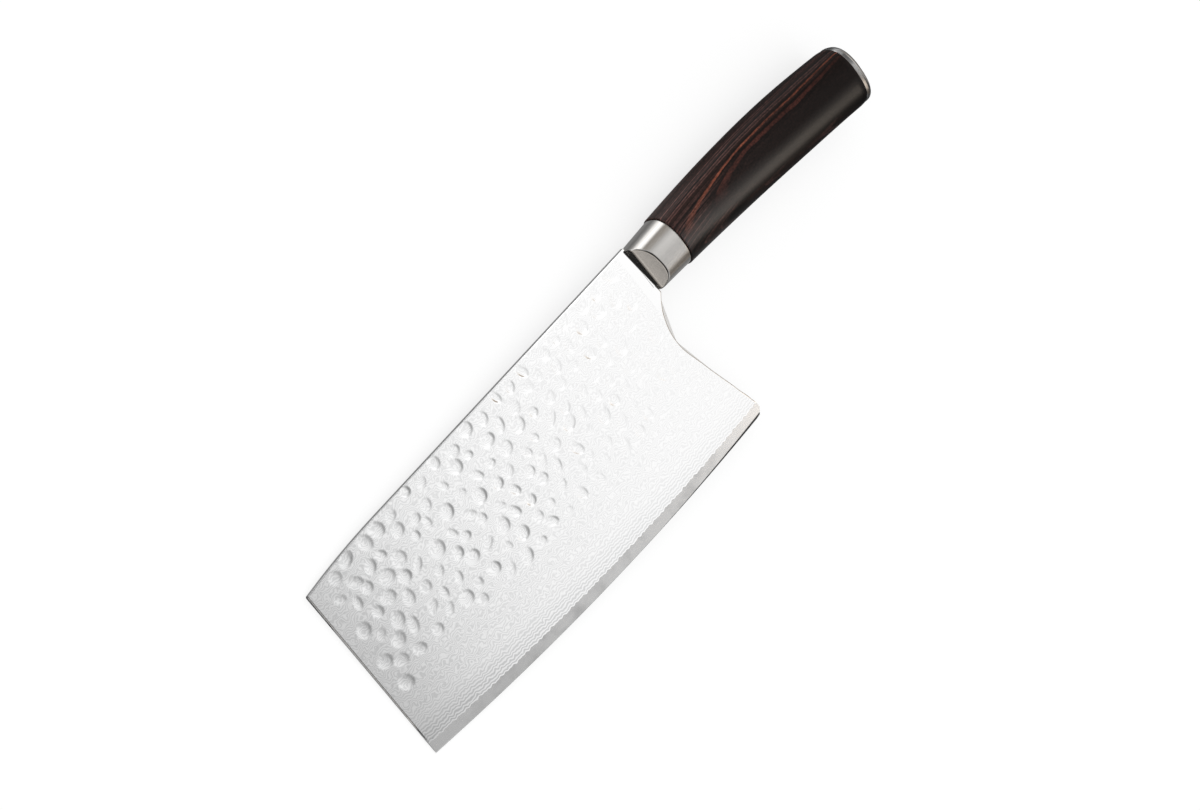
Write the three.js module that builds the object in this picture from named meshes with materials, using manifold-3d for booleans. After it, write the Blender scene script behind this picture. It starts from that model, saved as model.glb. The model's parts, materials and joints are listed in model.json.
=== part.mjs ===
// A hammered laminated cleaver with a faceted steel bolster, a laminated wood grip and a steel end cap.
// Millimetres. The knife is drawn with x from the bolster's front face towards the butt, y towards
// the spine and z out of the blade's left side, then laid on its right side with +Z up.
import * as THREE from 'three';
import { mergeVertices } from 'three/addons/utils/BufferGeometryUtils.js';
import { ConvexHull } from 'three/addons/math/ConvexHull.js';
import Module from 'manifold-3d';

const wasm = await Module();
wasm.setup();

// Blade outline
const bladeLength = 177.9; // bolster face to the tip, along the spine
const bladeDepth = 83.1; // spine line to the lowest point of the edge
const edgeRadius = 1166; // long belly of the edge
const edgeLowSetback = 38; // lowest point of the edge, ahead of the bolster face
const spineDrop = 2.1; // fall of the spine at the tip
const spineDropLength = 38;
const tipSlant = 1.3; // lead of the tip's lower corner over its upper one
const tipCornerRadius = 0.8;
const heelReach = 5; // heel corner behind the bolster face
const heelCornerRound = 5;
const notchDepth = 6.5; // finger notch ahead of the bolster face
const notchDrop = 39.2; // deepest point of the notch below the spine line
const notchRadius = 24;

// Blade section
const coreThickness = 0.8;
const bondLine = 0.05; // between the core and each cladding
const claddingSpine = 0.75; // one cladding at the spine, beside the bolster
const claddingRoad = 0.25; // one cladding at the top of the ground band
const distalLoss = 0.15; // what each cladding loses towards the tip
const roadWidth = 12; // ground band, measured up from the edge
const coreReveal = 4.5; // bare core along the edge
const edgeFlat = 0.12; // thickness left at the cutting edge

// Hammer marks
const markPitchAlong = 8.1;
const markPitchAcross = 6.7;
const markRadius = 2.5;
const markSpread = 0.28; // share by which a mark's radius varies
const markJitter = 1.5;
const markDepth = 0.2;
const markSpineMargin = 3.4;
const markTipMargin = 5;
const markNeckMargin = 13;
const markBandTip = 49; // depth of the hammered band at the tip
const markBandHeel = 55; // and at the bolster
const leftSeed = 10; // scatter of the marks on each side
const rightSeed = 20;

// Bolster
const bolsterLength = 16.4;
const bolsterHeightFront = 19.7;
const bolsterHeightRear = 21.2;
const bolsterWidthFront = 17.8;
const bolsterWidthRear = 19.2;
const noseRake = THREE.MathUtils.degToRad(0.8); // lean of the nose towards the butt at the belly
const noseWidth = 8.4; // square nose between the two facets
const facetAngle = THREE.MathUtils.degToRad(60); // facet to the blade plane
const facetTwist = THREE.MathUtils.degToRad(3); // facet's turn about the knife's length
const nosePower = 2.9; // superellipse exponent at the nose, easing to that of the grip
const slotLand = 3.2; // length of the close slot round the blade's neck

// Grip
const axisDrop = 10.95; // grip axis below the spine line, at the bolster face
const axisFall = 7.1; // further fall of the axis at the butt
const axisCurl = 2.35; // exponent of that fall along the grip
const gripLength = 102.4;
const gripHeightFront = 22.1;
const gripHeightPalm = 24.7;
const gripHeightSwell = 26.2;
const gripHeightButt = 25.6;
const gripWidthFront = 19.8;
const gripWidthPalm = 20.8;
const gripWidthSwell = 21.2;
const gripWidthButt = 20.6;
const gripEndRound = 0.25; // how far the grip is drawn in at the cap
const gripEndRoundLength = 3;
const sectionPower = 2.4; // superellipse exponent of grip and cap
const buttRake = THREE.MathUtils.degToRad(3.5); // lean of the butt towards the blade at the belly

// End cap
const capThickness = 3.4;
const capRimDepth = 2.2; // rounding of the cap's rim, along the knife
const capRimInset = 1.8; // and across it
const spigotLength = 6;

// Tang
const neckHeight = 15; // part of the blade that enters the bolster
const lapLength = 7.5; // neck held in the fork of the tang
const tangHeight = 9;
const tangThickness = 5.6;
const weldLeg = 1.3;
const bedWall = 1; // epoxy over the tang's corners
const pocketRoom = 0.6; // free space round the tang in the bolster
const tangEndRoom = 0.6; // between the tang and the cap's spigot

// Fits
const jointGap = 0.1; // between parts that meet face to face
const slotClearance = 0.1; // round the neck, on each side

const curveSteps = 16;
const ovalSides = 28;
const boreSides = 24;
const markSides = 7;
const overrun = 2; // how far cutting solids pass the solid they cut

// Values worked out from the driving dimensions
const tangFront = slotLand + weldLeg + 2 * jointGap;
const neckEnd = tangFront + lapLength;
const gripFront = bolsterLength + jointGap;
const gripEnd = gripFront + gripLength;
const capFront = gripEnd + jointGap;
const capEnd = capFront + capThickness;
const spigotFront = capFront - spigotLength;
const claddingInside = coreThickness / 2 + bondLine;
const spineThickness = 2 * (claddingInside + claddingSpine);
const distalTaper = distalLoss / bladeLength;
const edgeTaper = (claddingSpine - claddingRoad) / (bladeDepth - roadWidth);
const slotWidth = spineThickness + 2 * slotClearance;
const boreRadius = Math.hypot(tangHeight, tangThickness) / 2 + bedWall;
const tipLowerX = -(bladeLength + tipSlant);
const edgeCentreY = edgeRadius - bladeDepth;
const layerStart = tipLowerX - overrun;
const layerEnd = neckEnd + overrun;

const steel = { metalness: 1 };
const materials = {
  core: new THREE.MeshStandardMaterial({ ...steel, color: '#b4b5b6', roughness: 0.32 }),
  cladding: new THREE.MeshStandardMaterial({ ...steel, color: '#d4d5d6', roughness: 0.28 }),
  bolster: new THREE.MeshStandardMaterial({ ...steel, color: '#b9b2aa', roughness: 0.35 }),
  tang: new THREE.MeshStandardMaterial({ ...steel, color: '#8e8c88', roughness: 0.55 }),
  weld: new THREE.MeshStandardMaterial({ ...steel, color: '#7f7a74', roughness: 0.6 }),
  epoxy: new THREE.MeshStandardMaterial({ color: '#6d5a3a', roughness: 0.5, metalness: 0 }),
  wood: new THREE.MeshStandardMaterial({ color: '#2a1a17', roughness: 0.38, metalness: 0 }),
};

// Place of the bolster's raked front face at a height y.
function noseX(y) {
  return -y * Math.tan(noseRake);
}

// Height of the edge curve at x.
function edgeY(x) {
  return edgeCentreY - Math.sqrt(edgeRadius ** 2 - (x + edgeLowSetback) ** 2);
}

// Half thickness of the blade's flat tapered face at a point.
function faceHeight(x, y) {
  return spineThickness / 2 + distalTaper * x + edgeTaper * y;
}

// Height of the grip's axis at x: level at the bolster, falling to the butt.
function axisY(x) {
  return -axisDrop - axisFall * (Math.max(x, 0) / capEnd) ** axisCurl;
}

// A repeatable number from 0 to 1 for a place in a pattern.
function scatter(column, row, salt) {
  const wave = Math.sin(column * 12.9898 + row * 78.233 + salt * 37.719) * 43758.5453;
  return wave - Math.floor(wave);
}

// A closed geometry as a solid for joining and cutting.
function solid(geometry) {
  const bare = new THREE.BufferGeometry();
  bare.setAttribute('position', geometry.getAttribute('position'));
  if (geometry.index) bare.setIndex(geometry.index);
  const merged = mergeVertices(bare, 1e-4);
  return new wasm.Manifold(new wasm.Mesh({
    numProp: 3,
    vertProperties: new Float32Array(merged.getAttribute('position').array),
    triVerts: new Uint32Array(merged.index.array),
  }));
}

// A named mesh from a solid.
function part(name, body, material) {
  const result = body.getMesh();
  const geometry = new THREE.BufferGeometry();
  geometry.setAttribute('position', new THREE.BufferAttribute(result.vertProperties, result.numProp));
  geometry.setIndex(new THREE.BufferAttribute(result.triVerts, 1));
  geometry.computeVertexNormals();
  const mesh = new THREE.Mesh(geometry, material);
  mesh.name = name;
  return mesh;
}

// A closed skin over rings of points that run along +x, each ring anticlockwise seen from +x.
function loft(rings) {
  const sides = rings[0].length;
  const positions = rings.flat().flatMap((point) => point.toArray());
  const triangles = [];
  for (let ring = 0; ring < rings.length - 1; ring++) {
    for (let side = 0; side < sides; side++) {
      const near = ring * sides + side;
      const beside = ring * sides + ((side + 1) % sides);
      triangles.push(near, beside, near + sides, beside, beside + sides, near + sides);
    }
  }
  const last = (rings.length - 1) * sides;
  for (let side = 1; side < sides - 1; side++) {
    triangles.push(0, side + 1, side);
    triangles.push(last, last + side, last + side + 1);
  }
  const geometry = new THREE.BufferGeometry();
  geometry.setAttribute('position', new THREE.Float32BufferAttribute(positions, 3));
  geometry.setIndex(triangles);
  return geometry;
}

// A superellipse ring round the grip's axis, leaning more and more towards the butt.
function ovalRing(x, height, width, power = sectionPower) {
  const ring = [];
  const slant = Math.tan(buttRake) * (x / capEnd) ** axisCurl;
  for (let side = 0; side < ovalSides; side++) {
    const angle = (side / ovalSides) * 2 * Math.PI;
    const bow = (value) => Math.sign(value) * Math.abs(value) ** (2 / power);
    const rise = (height / 2) * bow(Math.cos(angle));
    const z = (width / 2) * bow(Math.sin(angle));
    ring.push(new THREE.Vector3(x + slant * rise, axisY(x) + rise, z));
  }
  return ring;
}

// A box between two opposite corners.
function block(low, high) {
  const size = new THREE.Vector3().subVectors(high, low);
  const centre = new THREE.Vector3().addVectors(low, high).multiplyScalar(0.5);
  return solid(new THREE.BoxGeometry(...size.toArray()).translate(...centre.toArray()));
}

// The blade's side view with the neck that enters the bolster.
function bladeShape() {
  const shape = new THREE.Shape();
  const dropStart = -(bladeLength - spineDropLength);
  const cornerX = -bladeLength;
  const shoulderAt = (y) => noseX(y) - jointGap;
  shape.moveTo(shoulderAt(0), 0);
  shape.lineTo(dropStart, 0);
  shape.quadraticCurveTo(dropStart - spineDropLength / 2, 0, cornerX + tipCornerRadius, -spineDrop);
  shape.quadraticCurveTo(cornerX, -spineDrop, cornerX, -spineDrop - tipCornerRadius);
  shape.lineTo(tipLowerX, edgeY(tipLowerX));

  const angleAt = (x) => Math.asin((x + edgeLowSetback) / edgeRadius) - Math.PI / 2;
  const roundStart = heelReach - heelCornerRound;
  shape.absarc(-edgeLowSetback, edgeCentreY, edgeRadius, angleAt(tipLowerX), angleAt(roundStart), false);

  // The heel line leaves the rounded corner and runs tangent into the notch.
  const corner = new THREE.Vector2(heelReach, edgeY(heelReach));
  const notch = new THREE.Vector2(notchRadius - notchDepth, -notchDrop);
  const toCorner = new THREE.Vector2().subVectors(corner, notch);
  const leaveAngle = toCorner.angle() - Math.acos(notchRadius / toCorner.length());
  const leave = new THREE.Vector2(Math.cos(leaveAngle), Math.sin(leaveAngle));
  leave.multiplyScalar(notchRadius).add(notch);
  const heelLine = new THREE.Vector2().subVectors(leave, corner).setLength(heelCornerRound);
  shape.quadraticCurveTo(corner.x, corner.y, corner.x + heelLine.x, corner.y + heelLine.y);
  shape.lineTo(leave.x, leave.y);
  const shoulderFoot = shoulderAt(-axisDrop - bolsterHeightFront / 2);
  const shoulderAngle = Math.acos((shoulderFoot - notch.x) / notchRadius);
  shape.absarc(notch.x, notch.y, notchRadius, leaveAngle, shoulderAngle, true);

  const neckLow = -axisDrop - neckHeight / 2;
  const neckHigh = -axisDrop + neckHeight / 2;
  shape.lineTo(shoulderAt(neckLow), neckLow);
  shape.lineTo(neckEnd, neckLow);
  shape.lineTo(neckEnd, neckHigh);
  shape.lineTo(shoulderAt(neckHigh), neckHigh);
  return shape;
}

// The blade's outline as a prism thick enough to trim every layer.
function bladePrism() {
  const depth = spineThickness + 2 * overrun;
  const options = { depth, bevelEnabled: false, curveSegments: curveSteps };
  return solid(new THREE.ExtrudeGeometry(bladeShape(), options).translate(0, 0, -depth / 2));
}

// A section of the blade swept from the tip to the neck in equal steps.
function sweep(sectionAt, steps) {
  const rings = [];
  for (let step = 0; step <= steps; step++) {
    const x = THREE.MathUtils.lerp(layerStart, layerEnd, step / steps);
    rings.push(sectionAt(x).map(([y, z]) => new THREE.Vector3(x, y, z)));
  }
  return solid(loft(rings));
}

// Hard core, bare and bevelled along the edge.
function coreSection(x) {
  const half = coreThickness / 2;
  const edge = edgeY(x);
  return [
    [overrun, -half],
    [overrun, half],
    [edge + coreReveal, half],
    [edge, edgeFlat / 2],
    [edge - overrun, edgeFlat / 2],
    [edge - overrun, -edgeFlat / 2],
    [edge, -edgeFlat / 2],
    [edge + coreReveal, -half],
  ];
}

// Under the flat tapered face of the left side.
function faceSection(x) {
  const low = -bladeDepth;
  return [
    [overrun, 0],
    [overrun, faceHeight(x, overrun)],
    [low, faceHeight(x, low)],
    [low, 0],
  ];
}

// Under the ground band of the left side, which runs out on the core above the edge.
function roadSection(x) {
  const foot = edgeY(x) + coreReveal;
  const top = edgeY(x) + roadWidth;
  const slope = (faceHeight(x, top) - claddingInside) / (top - foot);
  return [
    [overrun, claddingInside],
    [overrun, claddingInside + slope * (overrun - foot)],
    [foot, claddingInside],
  ];
}

// One hammer mark: a shallow bowl of unit radius about the z axis, its rim in the plane z = 0.
function markBowl() {
  const shelf = 0.6;
  const profile = [
    new THREE.Vector2(0, -markDepth),
    new THREE.Vector2(shelf, -markDepth * (1 - shelf ** 2)),
    new THREE.Vector2(1, 0),
    new THREE.Vector2(1, markDepth),
    new THREE.Vector2(0, markDepth),
  ];
  return new THREE.LatheGeometry(profile, markSides).rotateX(Math.PI / 2);
}

// The hammer marks of one side, on a staggered grid with scattered places, sizes and turns.
function hammerMarks(seed) {
  const bowls = [];
  const faceTilt = new THREE.Matrix4().makeShear(0, distalTaper, 0, edgeTaper, 0, 0);
  const columns = Math.floor((bladeLength - markNeckMargin - markTipMargin) / markPitchAlong);
  const rows = Math.ceil(Math.max(markBandTip, markBandHeel) / markPitchAcross);
  for (let column = 0; column <= columns; column++) {
    for (let row = 0; row < rows; row++) {
      const stray = (salt) => 2 * scatter(column, row, salt + seed) - 1;
      const stagger = (row % 2) * markPitchAlong / 2;
      const x = -markNeckMargin - column * markPitchAlong - stagger + markJitter * stray(1);
      const y = -markSpineMargin - row * markPitchAcross + markJitter * stray(2);
      const band = THREE.MathUtils.lerp(markBandHeel, markBandTip, -x / bladeLength);
      if (y < -band || x < -bladeLength + markTipMargin) continue;
      const long = markRadius * (1 + markSpread * stray(3));
      const short = markRadius * (1 + markSpread * stray(4));
      const bowl = markBowl().scale(long, short, 1).rotateZ(Math.PI * stray(5));
      bowl.applyMatrix4(faceTilt).translate(x, y, faceHeight(x, y));
      bowls.push(solid(bowl));
    }
  }
  return wasm.Manifold.union(bowls);
}

function core() {
  return sweep(coreSection, curveSteps).intersect(bladePrism());
}

// Soft cladding of the left side, with its own hammer marks.
function cladding(seed) {
  return sweep(faceSection, 1)
    .intersect(sweep(roadSection, curveSteps))
    .intersect(bladePrism())
    .subtract(hammerMarks(seed));
}

// Bolster: an oval block with two slanting facets in front, a close slot and a pocket for the tang.
function bolster() {
  const rings = [];
  const steps = 4;
  for (let step = 0; step <= steps; step++) {
    const along = step / steps;
    const height = THREE.MathUtils.lerp(bolsterHeightFront, bolsterHeightRear, along);
    const width = THREE.MathUtils.lerp(bolsterWidthFront, bolsterWidthRear, along);
    const power = THREE.MathUtils.lerp(nosePower, sectionPower, along);
    rings.push(ovalRing(bolsterLength * along, height, width, power));
  }
  const halfSlot = neckHeight / 2 + slotClearance;
  const slotRoom = new THREE.Vector3(0, halfSlot, slotWidth / 2);
  const slotLow = new THREE.Vector3(-overrun, -axisDrop, 0).sub(slotRoom);
  const slotHigh = new THREE.Vector3(neckEnd + jointGap, -axisDrop, 0).add(slotRoom);
  const room = new THREE.Vector3(0, halfSlot, tangThickness / 2 + pocketRoom);
  const pocketLow = new THREE.Vector3(slotLand, -axisDrop, 0).sub(room);
  const pocketHigh = new THREE.Vector3(bolsterLength + overrun, -axisDrop, 0).add(room);
  return solid(loft(rings))
    .subtract(noseCutter())
    .subtract(facetCutter(1))
    .subtract(facetCutter(-1))
    .subtract(block(slotLow, slotHigh))
    .subtract(block(pocketLow, pocketHigh));
}

// The block that trims the bolster's nose to its rake.
function noseCutter() {
  const geometry = new THREE.BoxGeometry(bolsterLength, 4 * bolsterHeightFront, 2 * bolsterWidthFront);
  return solid(geometry.translate(-bolsterLength / 2, 0, 0).rotateZ(noseRake));
}

// The wedge that cuts one facet of the bolster's nose.
function facetCutter(side) {
  const rise = Math.tan(facetAngle);
  const reach = bolsterWidthFront;
  const wedge = new THREE.Shape();
  wedge.moveTo(-overrun, side * (noseWidth / 2 - overrun * rise));
  wedge.lineTo(reach / rise, side * (noseWidth / 2 + reach));
  wedge.lineTo(-overrun, side * (noseWidth / 2 + reach));
  const depth = 2 * bolsterHeightFront;
  const geometry = new THREE.ExtrudeGeometry(wedge, { depth, bevelEnabled: false });
  geometry.rotateX(Math.PI / 2).translate(0, depth / 2, 0).rotateX(-side * facetTwist);
  return solid(geometry.translate(0, -axisDrop, 0).rotateZ(noseRake));
}

// Line of the tang: from the middle of the neck to the middle of the cap.
const tangStart = new THREE.Vector2(tangFront, axisY(tangFront));
const tangAim = new THREE.Vector2(capFront, axisY(capFront));
const tangTurn = tangAim.clone().sub(tangStart).angle();

// Places a geometry drawn along the tang, with x from the tang's front end.
function alongTang(geometry) {
  return geometry.rotateZ(tangTurn).translate(tangStart.x, tangStart.y, 0);
}

// Distance along the tang at which it crosses a plane square to the knife.
function tangReach(x) {
  return (x - tangStart.x) / Math.cos(tangTurn);
}

// A round bar along the tang's line whose ends are square to the knife.
function tangRound(radius, fromX, toX) {
  const length = tangReach(toX) - tangReach(fromX) + 2 * radius;
  const centre = tangReach((fromX + toX) / 2);
  const cylinder = new THREE.CylinderGeometry(radius, radius, length, boreSides).rotateZ(Math.PI / 2);
  const across = new THREE.Vector3(0, bladeDepth, 2 * radius);
  const low = new THREE.Vector3(fromX, 0, 0).sub(across);
  const high = new THREE.Vector3(toX, 0, 0).add(across);
  return solid(alongTang(cylinder.translate(centre, 0, 0))).intersect(block(low, high));
}

function tangBar(from, to, clearance) {
  const length = to - from;
  const bar = new THREE.BoxGeometry(length, tangHeight + 2 * clearance, tangThickness + 2 * clearance);
  return solid(alongTang(bar.translate(from + length / 2, 0, 0)));
}

// Flat bar, forked in front over the neck and stopping short of the cap's spigot.
function tang() {
  const tangEnd = tangReach(spigotFront - tangEndRoom);
  const half = new THREE.Vector3(0, bladeDepth, slotWidth / 2);
  const forkLow = new THREE.Vector3(-overrun, 0, 0).sub(half);
  const forkHigh = new THREE.Vector3(neckEnd + jointGap, 0, 0).add(half);
  return tangBar(0, tangEnd, 0).subtract(block(forkLow, forkHigh));
}

// Fillet weld across the end of one fork prong, on the neck's side.
function weld(side) {
  const face = side * (slotWidth / 2);
  const bead = new THREE.Shape();
  bead.moveTo(-jointGap, face);
  bead.lineTo(-jointGap, face + side * weldLeg);
  bead.quadraticCurveTo(-jointGap - weldLeg / 3, face + side * weldLeg / 3, -jointGap - weldLeg, face);
  const options = { depth: tangHeight, bevelEnabled: false, curveSegments: 5 };
  const geometry = new THREE.ExtrudeGeometry(bead, options);
  return solid(alongTang(geometry.rotateX(Math.PI / 2).translate(0, tangHeight / 2, 0)));
}

// Epoxy round the tang inside the grip.
function epoxyBed() {
  return tangRound(boreRadius - jointGap, gripFront, spigotFront - jointGap)
    .subtract(tangBar(-overrun, tangReach(capEnd), jointGap));
}

// Height and width of the grip at a share of its length: narrow in front, swelling behind the palm.
function gripSize(along) {
  const stations = new THREE.CatmullRomCurve3([
    new THREE.Vector3(0, gripHeightFront, gripWidthFront),
    new THREE.Vector3(1, gripHeightPalm, gripWidthPalm),
    new THREE.Vector3(2, gripHeightSwell, gripWidthSwell),
    new THREE.Vector3(3, gripHeightButt, gripWidthButt),
  ]);
  const size = stations.getPoint(along);
  return { height: size.y, width: size.z };
}

// Grip: one block of laminated wood, drawn in a little at the cap and bored through for the tang.
function grip() {
  const rings = [];
  const steps = 11;
  const roundStart = 1 - gripEndRoundLength / gripLength;
  for (let step = 0; step <= steps; step++) {
    const along = roundStart * step / steps;
    const { height, width } = gripSize(along);
    rings.push(ovalRing(gripFront + gripLength * along, height, width));
  }
  const roundSteps = 3;
  for (let step = 1; step <= roundSteps; step++) {
    const turn = step / roundSteps;
    const along = THREE.MathUtils.lerp(roundStart, 1, turn);
    const { height, width } = gripSize(along);
    const inset = 2 * gripEndRound * turn ** 2;
    rings.push(ovalRing(gripFront + gripLength * along, height - inset, width - inset));
  }
  return solid(loft(rings)).subtract(tangRound(boreRadius, gripFront - overrun, gripEnd + overrun));
}

// End cap: an oval plate with a full round rim, and a spigot that plugs the grip's bore.
function endCap() {
  const height = gripHeightButt - 2 * gripEndRound;
  const width = gripWidthButt - 2 * gripEndRound;
  const rings = [ovalRing(capFront, height, width)];
  const steps = 4;
  for (let step = 0; step <= steps; step++) {
    const angle = (step / steps) * Math.PI / 2;
    const inset = 2 * capRimInset * (1 - Math.cos(angle));
    const x = capEnd - capRimDepth + capRimDepth * Math.sin(angle);
    rings.push(ovalRing(x, height - inset, width - inset));
  }
  const spigot = tangRound(boreRadius - jointGap, spigotFront, capFront + capThickness / 2);
  return solid(loft(rings)).add(spigot);
}

const knife = new THREE.Group();
knife.add(part('blade_core', core(), materials.core));
knife.add(part('cladding_left', cladding(leftSeed), materials.cladding));
knife.add(part('cladding_right', cladding(rightSeed).mirror([0, 0, 1]), materials.cladding));
knife.add(part('bolster', bolster(), materials.bolster));
knife.add(part('tang', tang(), materials.tang));
knife.add(part('tang_weld_left', weld(1), materials.weld));
knife.add(part('tang_weld_right', weld(-1), materials.weld));
knife.add(part('epoxy_bed', epoxyBed(), materials.epoxy));
knife.add(part('grip', grip(), materials.wood));
knife.add(part('end_cap', endCap(), materials.bolster));

// The side the knife lies on: the widest face of its convex hull that looks out of the right side.
function restingNormal(group) {
  const hull = new ConvexHull().setFromObject(group);
  const widest = { area: 0, normal: null };
  for (const face of hull.faces) {
    if (face.normal.z < -0.9 && face.area > widest.area) {
      widest.area = face.area;
      widest.normal = face.normal;
    }
  }
  return widest.normal;
}

// Lay the knife down, then set the origin under the middle of its box.
const down = new THREE.Vector3(0, 0, -1);
knife.quaternion.setFromUnitVectors(restingNormal(knife), down);
const box = new THREE.Box3().setFromObject(knife, true);
const middle = box.getCenter(new THREE.Vector3());
knife.position.set(-middle.x, -middle.y, -box.min.z);

const cleaver = new THREE.Group();
cleaver.name = 'cleaver';
cleaver.add(knife);

export default cleaver;
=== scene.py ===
import json
import math

import bmesh
import bpy
import numpy as np
from bpy.props import FloatProperty, FloatVectorProperty, IntProperty, PointerProperty
from mathutils import Matrix, Vector


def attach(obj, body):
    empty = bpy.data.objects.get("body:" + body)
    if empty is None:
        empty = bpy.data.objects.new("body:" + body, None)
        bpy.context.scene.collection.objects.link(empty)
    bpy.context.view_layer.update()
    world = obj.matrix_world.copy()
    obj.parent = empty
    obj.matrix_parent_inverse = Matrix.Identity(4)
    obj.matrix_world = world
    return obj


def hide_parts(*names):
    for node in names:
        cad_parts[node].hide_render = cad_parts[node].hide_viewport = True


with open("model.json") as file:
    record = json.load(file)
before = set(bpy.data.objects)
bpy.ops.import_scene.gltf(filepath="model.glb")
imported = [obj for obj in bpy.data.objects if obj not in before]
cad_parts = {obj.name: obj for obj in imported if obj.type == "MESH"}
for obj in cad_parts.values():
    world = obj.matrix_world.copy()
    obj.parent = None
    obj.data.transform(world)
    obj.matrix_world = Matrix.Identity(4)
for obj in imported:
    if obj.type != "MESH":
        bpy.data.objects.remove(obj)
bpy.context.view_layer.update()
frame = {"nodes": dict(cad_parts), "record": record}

bl_info = {
    "name": "Hammered Cleaver",
    "version": (1, 0, 0),
    "blender": (4, 5, 0),
    "location": "View3D > Sidebar > Cleaver",
    "description": "Dresses the packed solids of a laminated kitchen cleaver",
    "category": "Add Mesh",
}

MM = 1000  # millimetres in a metre
SPINE_MOUNT = 0.060  # the spine mount lies this far ahead of the bolster face
NECK_START = -0.0004  # the neck starts this far ahead of the bolster face
BOX_CORNERS = 8
TENT_RADIUS, TENT_TIP, TENT_BUTT = 0.9, -0.9, 1.3  # the light tent's reach round the knife and along it


def linear(hex_colour):
    """Turns an sRGB hex value into linear red, green, blue and alpha."""
    parts = [int(hex_colour[at:at + 2], 16) / 255 for at in (1, 3, 5)]
    return (*[p / 12.92 if p <= 0.04045 else ((p + 0.055) / 1.055) ** 2.4 for p in parts], 1.0)


def length(name, description, millimetres):
    """A length property, given in millimetres and kept in metres."""
    return FloatProperty(
        name=name, description=description, default=millimetres / MM, unit="LENGTH", precision=5
    )


def angle(name, description, degrees):
    """An angle property, given in degrees."""
    return FloatProperty(name=name, description=description, default=math.radians(degrees), subtype="ANGLE")


def number(name, description, default):
    """A plain number property."""
    return FloatProperty(name=name, description=description, default=default, precision=3)


def colour(name, description, hex_colour):
    """A colour property, given as an sRGB hex value."""
    return FloatVectorProperty(
        name=name, description=description, default=linear(hex_colour), size=4, min=0, max=1, subtype="COLOR"
    )


class CleaverBlade(bpy.types.PropertyGroup):
    """Sizes of the laminated blade."""

    long: length("Length", "Bolster face to tip along the spine", 177.9)
    deep: length("Depth", "Spine to the lowest point of the edge", 83.08)
    edge_radius: length("Edge radius", "Curve of the cutting edge", 1166)
    edge_low: length("Edge low point", "Distance of the lowest point of the edge from the bolster", 38)
    spine_low: length("Spine level", "Spine below the line of the solid", 0.02)
    spine_drop: length("Spine drop", "Fall of the spine at the tip", 2.1)
    spine_drop_long: length("Spine drop length", "Length over which the spine falls", 38)
    tip_slant: length("Tip slant", "How far the tip leans out at the edge", 1.3)
    tip_corner: length("Tip corner", "Rounding of the upper tip corner", 0.8)
    heel_reach: length("Heel reach", "How far the heel corner passes the bolster face", 5)
    heel_round: length("Heel round", "Rounding of the heel corner", 5)
    notch_deep: length("Notch depth", "Depth of the finger notch", 6.5)
    notch_drop: length("Notch drop", "Notch centre below the spine", 39.2)
    notch_radius: length("Notch radius", "Radius of the finger notch", 24)
    spine_thick: length("Spine thickness", "Thickness of the blade at the spine", 2.4)
    core_thick: length("Core thickness", "Thickness of the hard core", 0.8)
    bond: length("Bond line", "Gap between the core and a cladding", 0.05)
    distal_loss: length("Distal loss", "Thinning of each face from bolster to tip", 0.15)
    edge_loss: length("Edge loss", "Thinning of each face from spine to ground band", 0.5)
    ground_band: length("Ground band", "Width of the band ground down to the core", 12)
    core_bare: length("Bare core", "Width of the core that shows along the edge", 4.5)
    core_wave: length("Core wave", "How far the cladding's lower line wanders", 0.42)
    edge_flat: length("Edge flat", "Thickness left at the edge", 0.12)
    edge_break: length("Edge break", "Rounding along spine, tip and heel", 0.25)
    honed: length("Honed bevel", "Width of the last fine bevel at the edge", 0.25)
    neck_high: length("Neck height", "Height of the neck inside the bolster", 15)
    neck_end: length("Neck end", "Reach of the neck into the bolster", 12.2)
    nose_gap: length("Shoulder gap", "Gap between blade shoulder and bolster", 0.1)


class CleaverMarks(bpy.types.PropertyGroup):
    """Scatter of the hammer marks."""

    pitch_along: length("Pitch along", "Spacing of marks along the blade", 8.1)
    pitch_across: length("Pitch across", "Spacing of rows of marks", 6.7)
    radius: length("Radius", "Mean radius of a mark", 2.6)
    spread: number("Spread", "Change of size from mark to mark", 0.38)
    jitter: length("Jitter", "How far a mark leaves its place in the row", 1.5)
    deep: length("Depth", "Depth of a full mark", 0.18)
    skew: number("Skew", "How far the floor of a mark lies towards the heel, as a share of its radius", 0.3)
    dish: number("Dish", "Higher makes a flatter floor and a steeper rim", 1.25)
    faint: number("Faintest", "Share of the depth that marks keep beside the bolster", 0.24)
    tip_loss: number("Tip loss", "Share of the depth that marks lose at the thin tip", 0.6)
    spine_margin: length("Spine margin", "First row below the spine", 3.4)
    tip_margin: length("Tip margin", "Bare strip at the tip", 3.6)
    neck_margin: length("Neck margin", "Bare strip at the bolster", 13)
    band_tip: length("Band at tip", "Depth of the marked band at the tip", 49)
    band_heel: length("Band at heel", "Depth of the marked band at the heel", 55)
    left_seed: IntProperty(name="Left seed", description="Scatter of the left side", default=10)
    right_seed: IntProperty(name="Right seed", description="Scatter of the right side", default=20)


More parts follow.
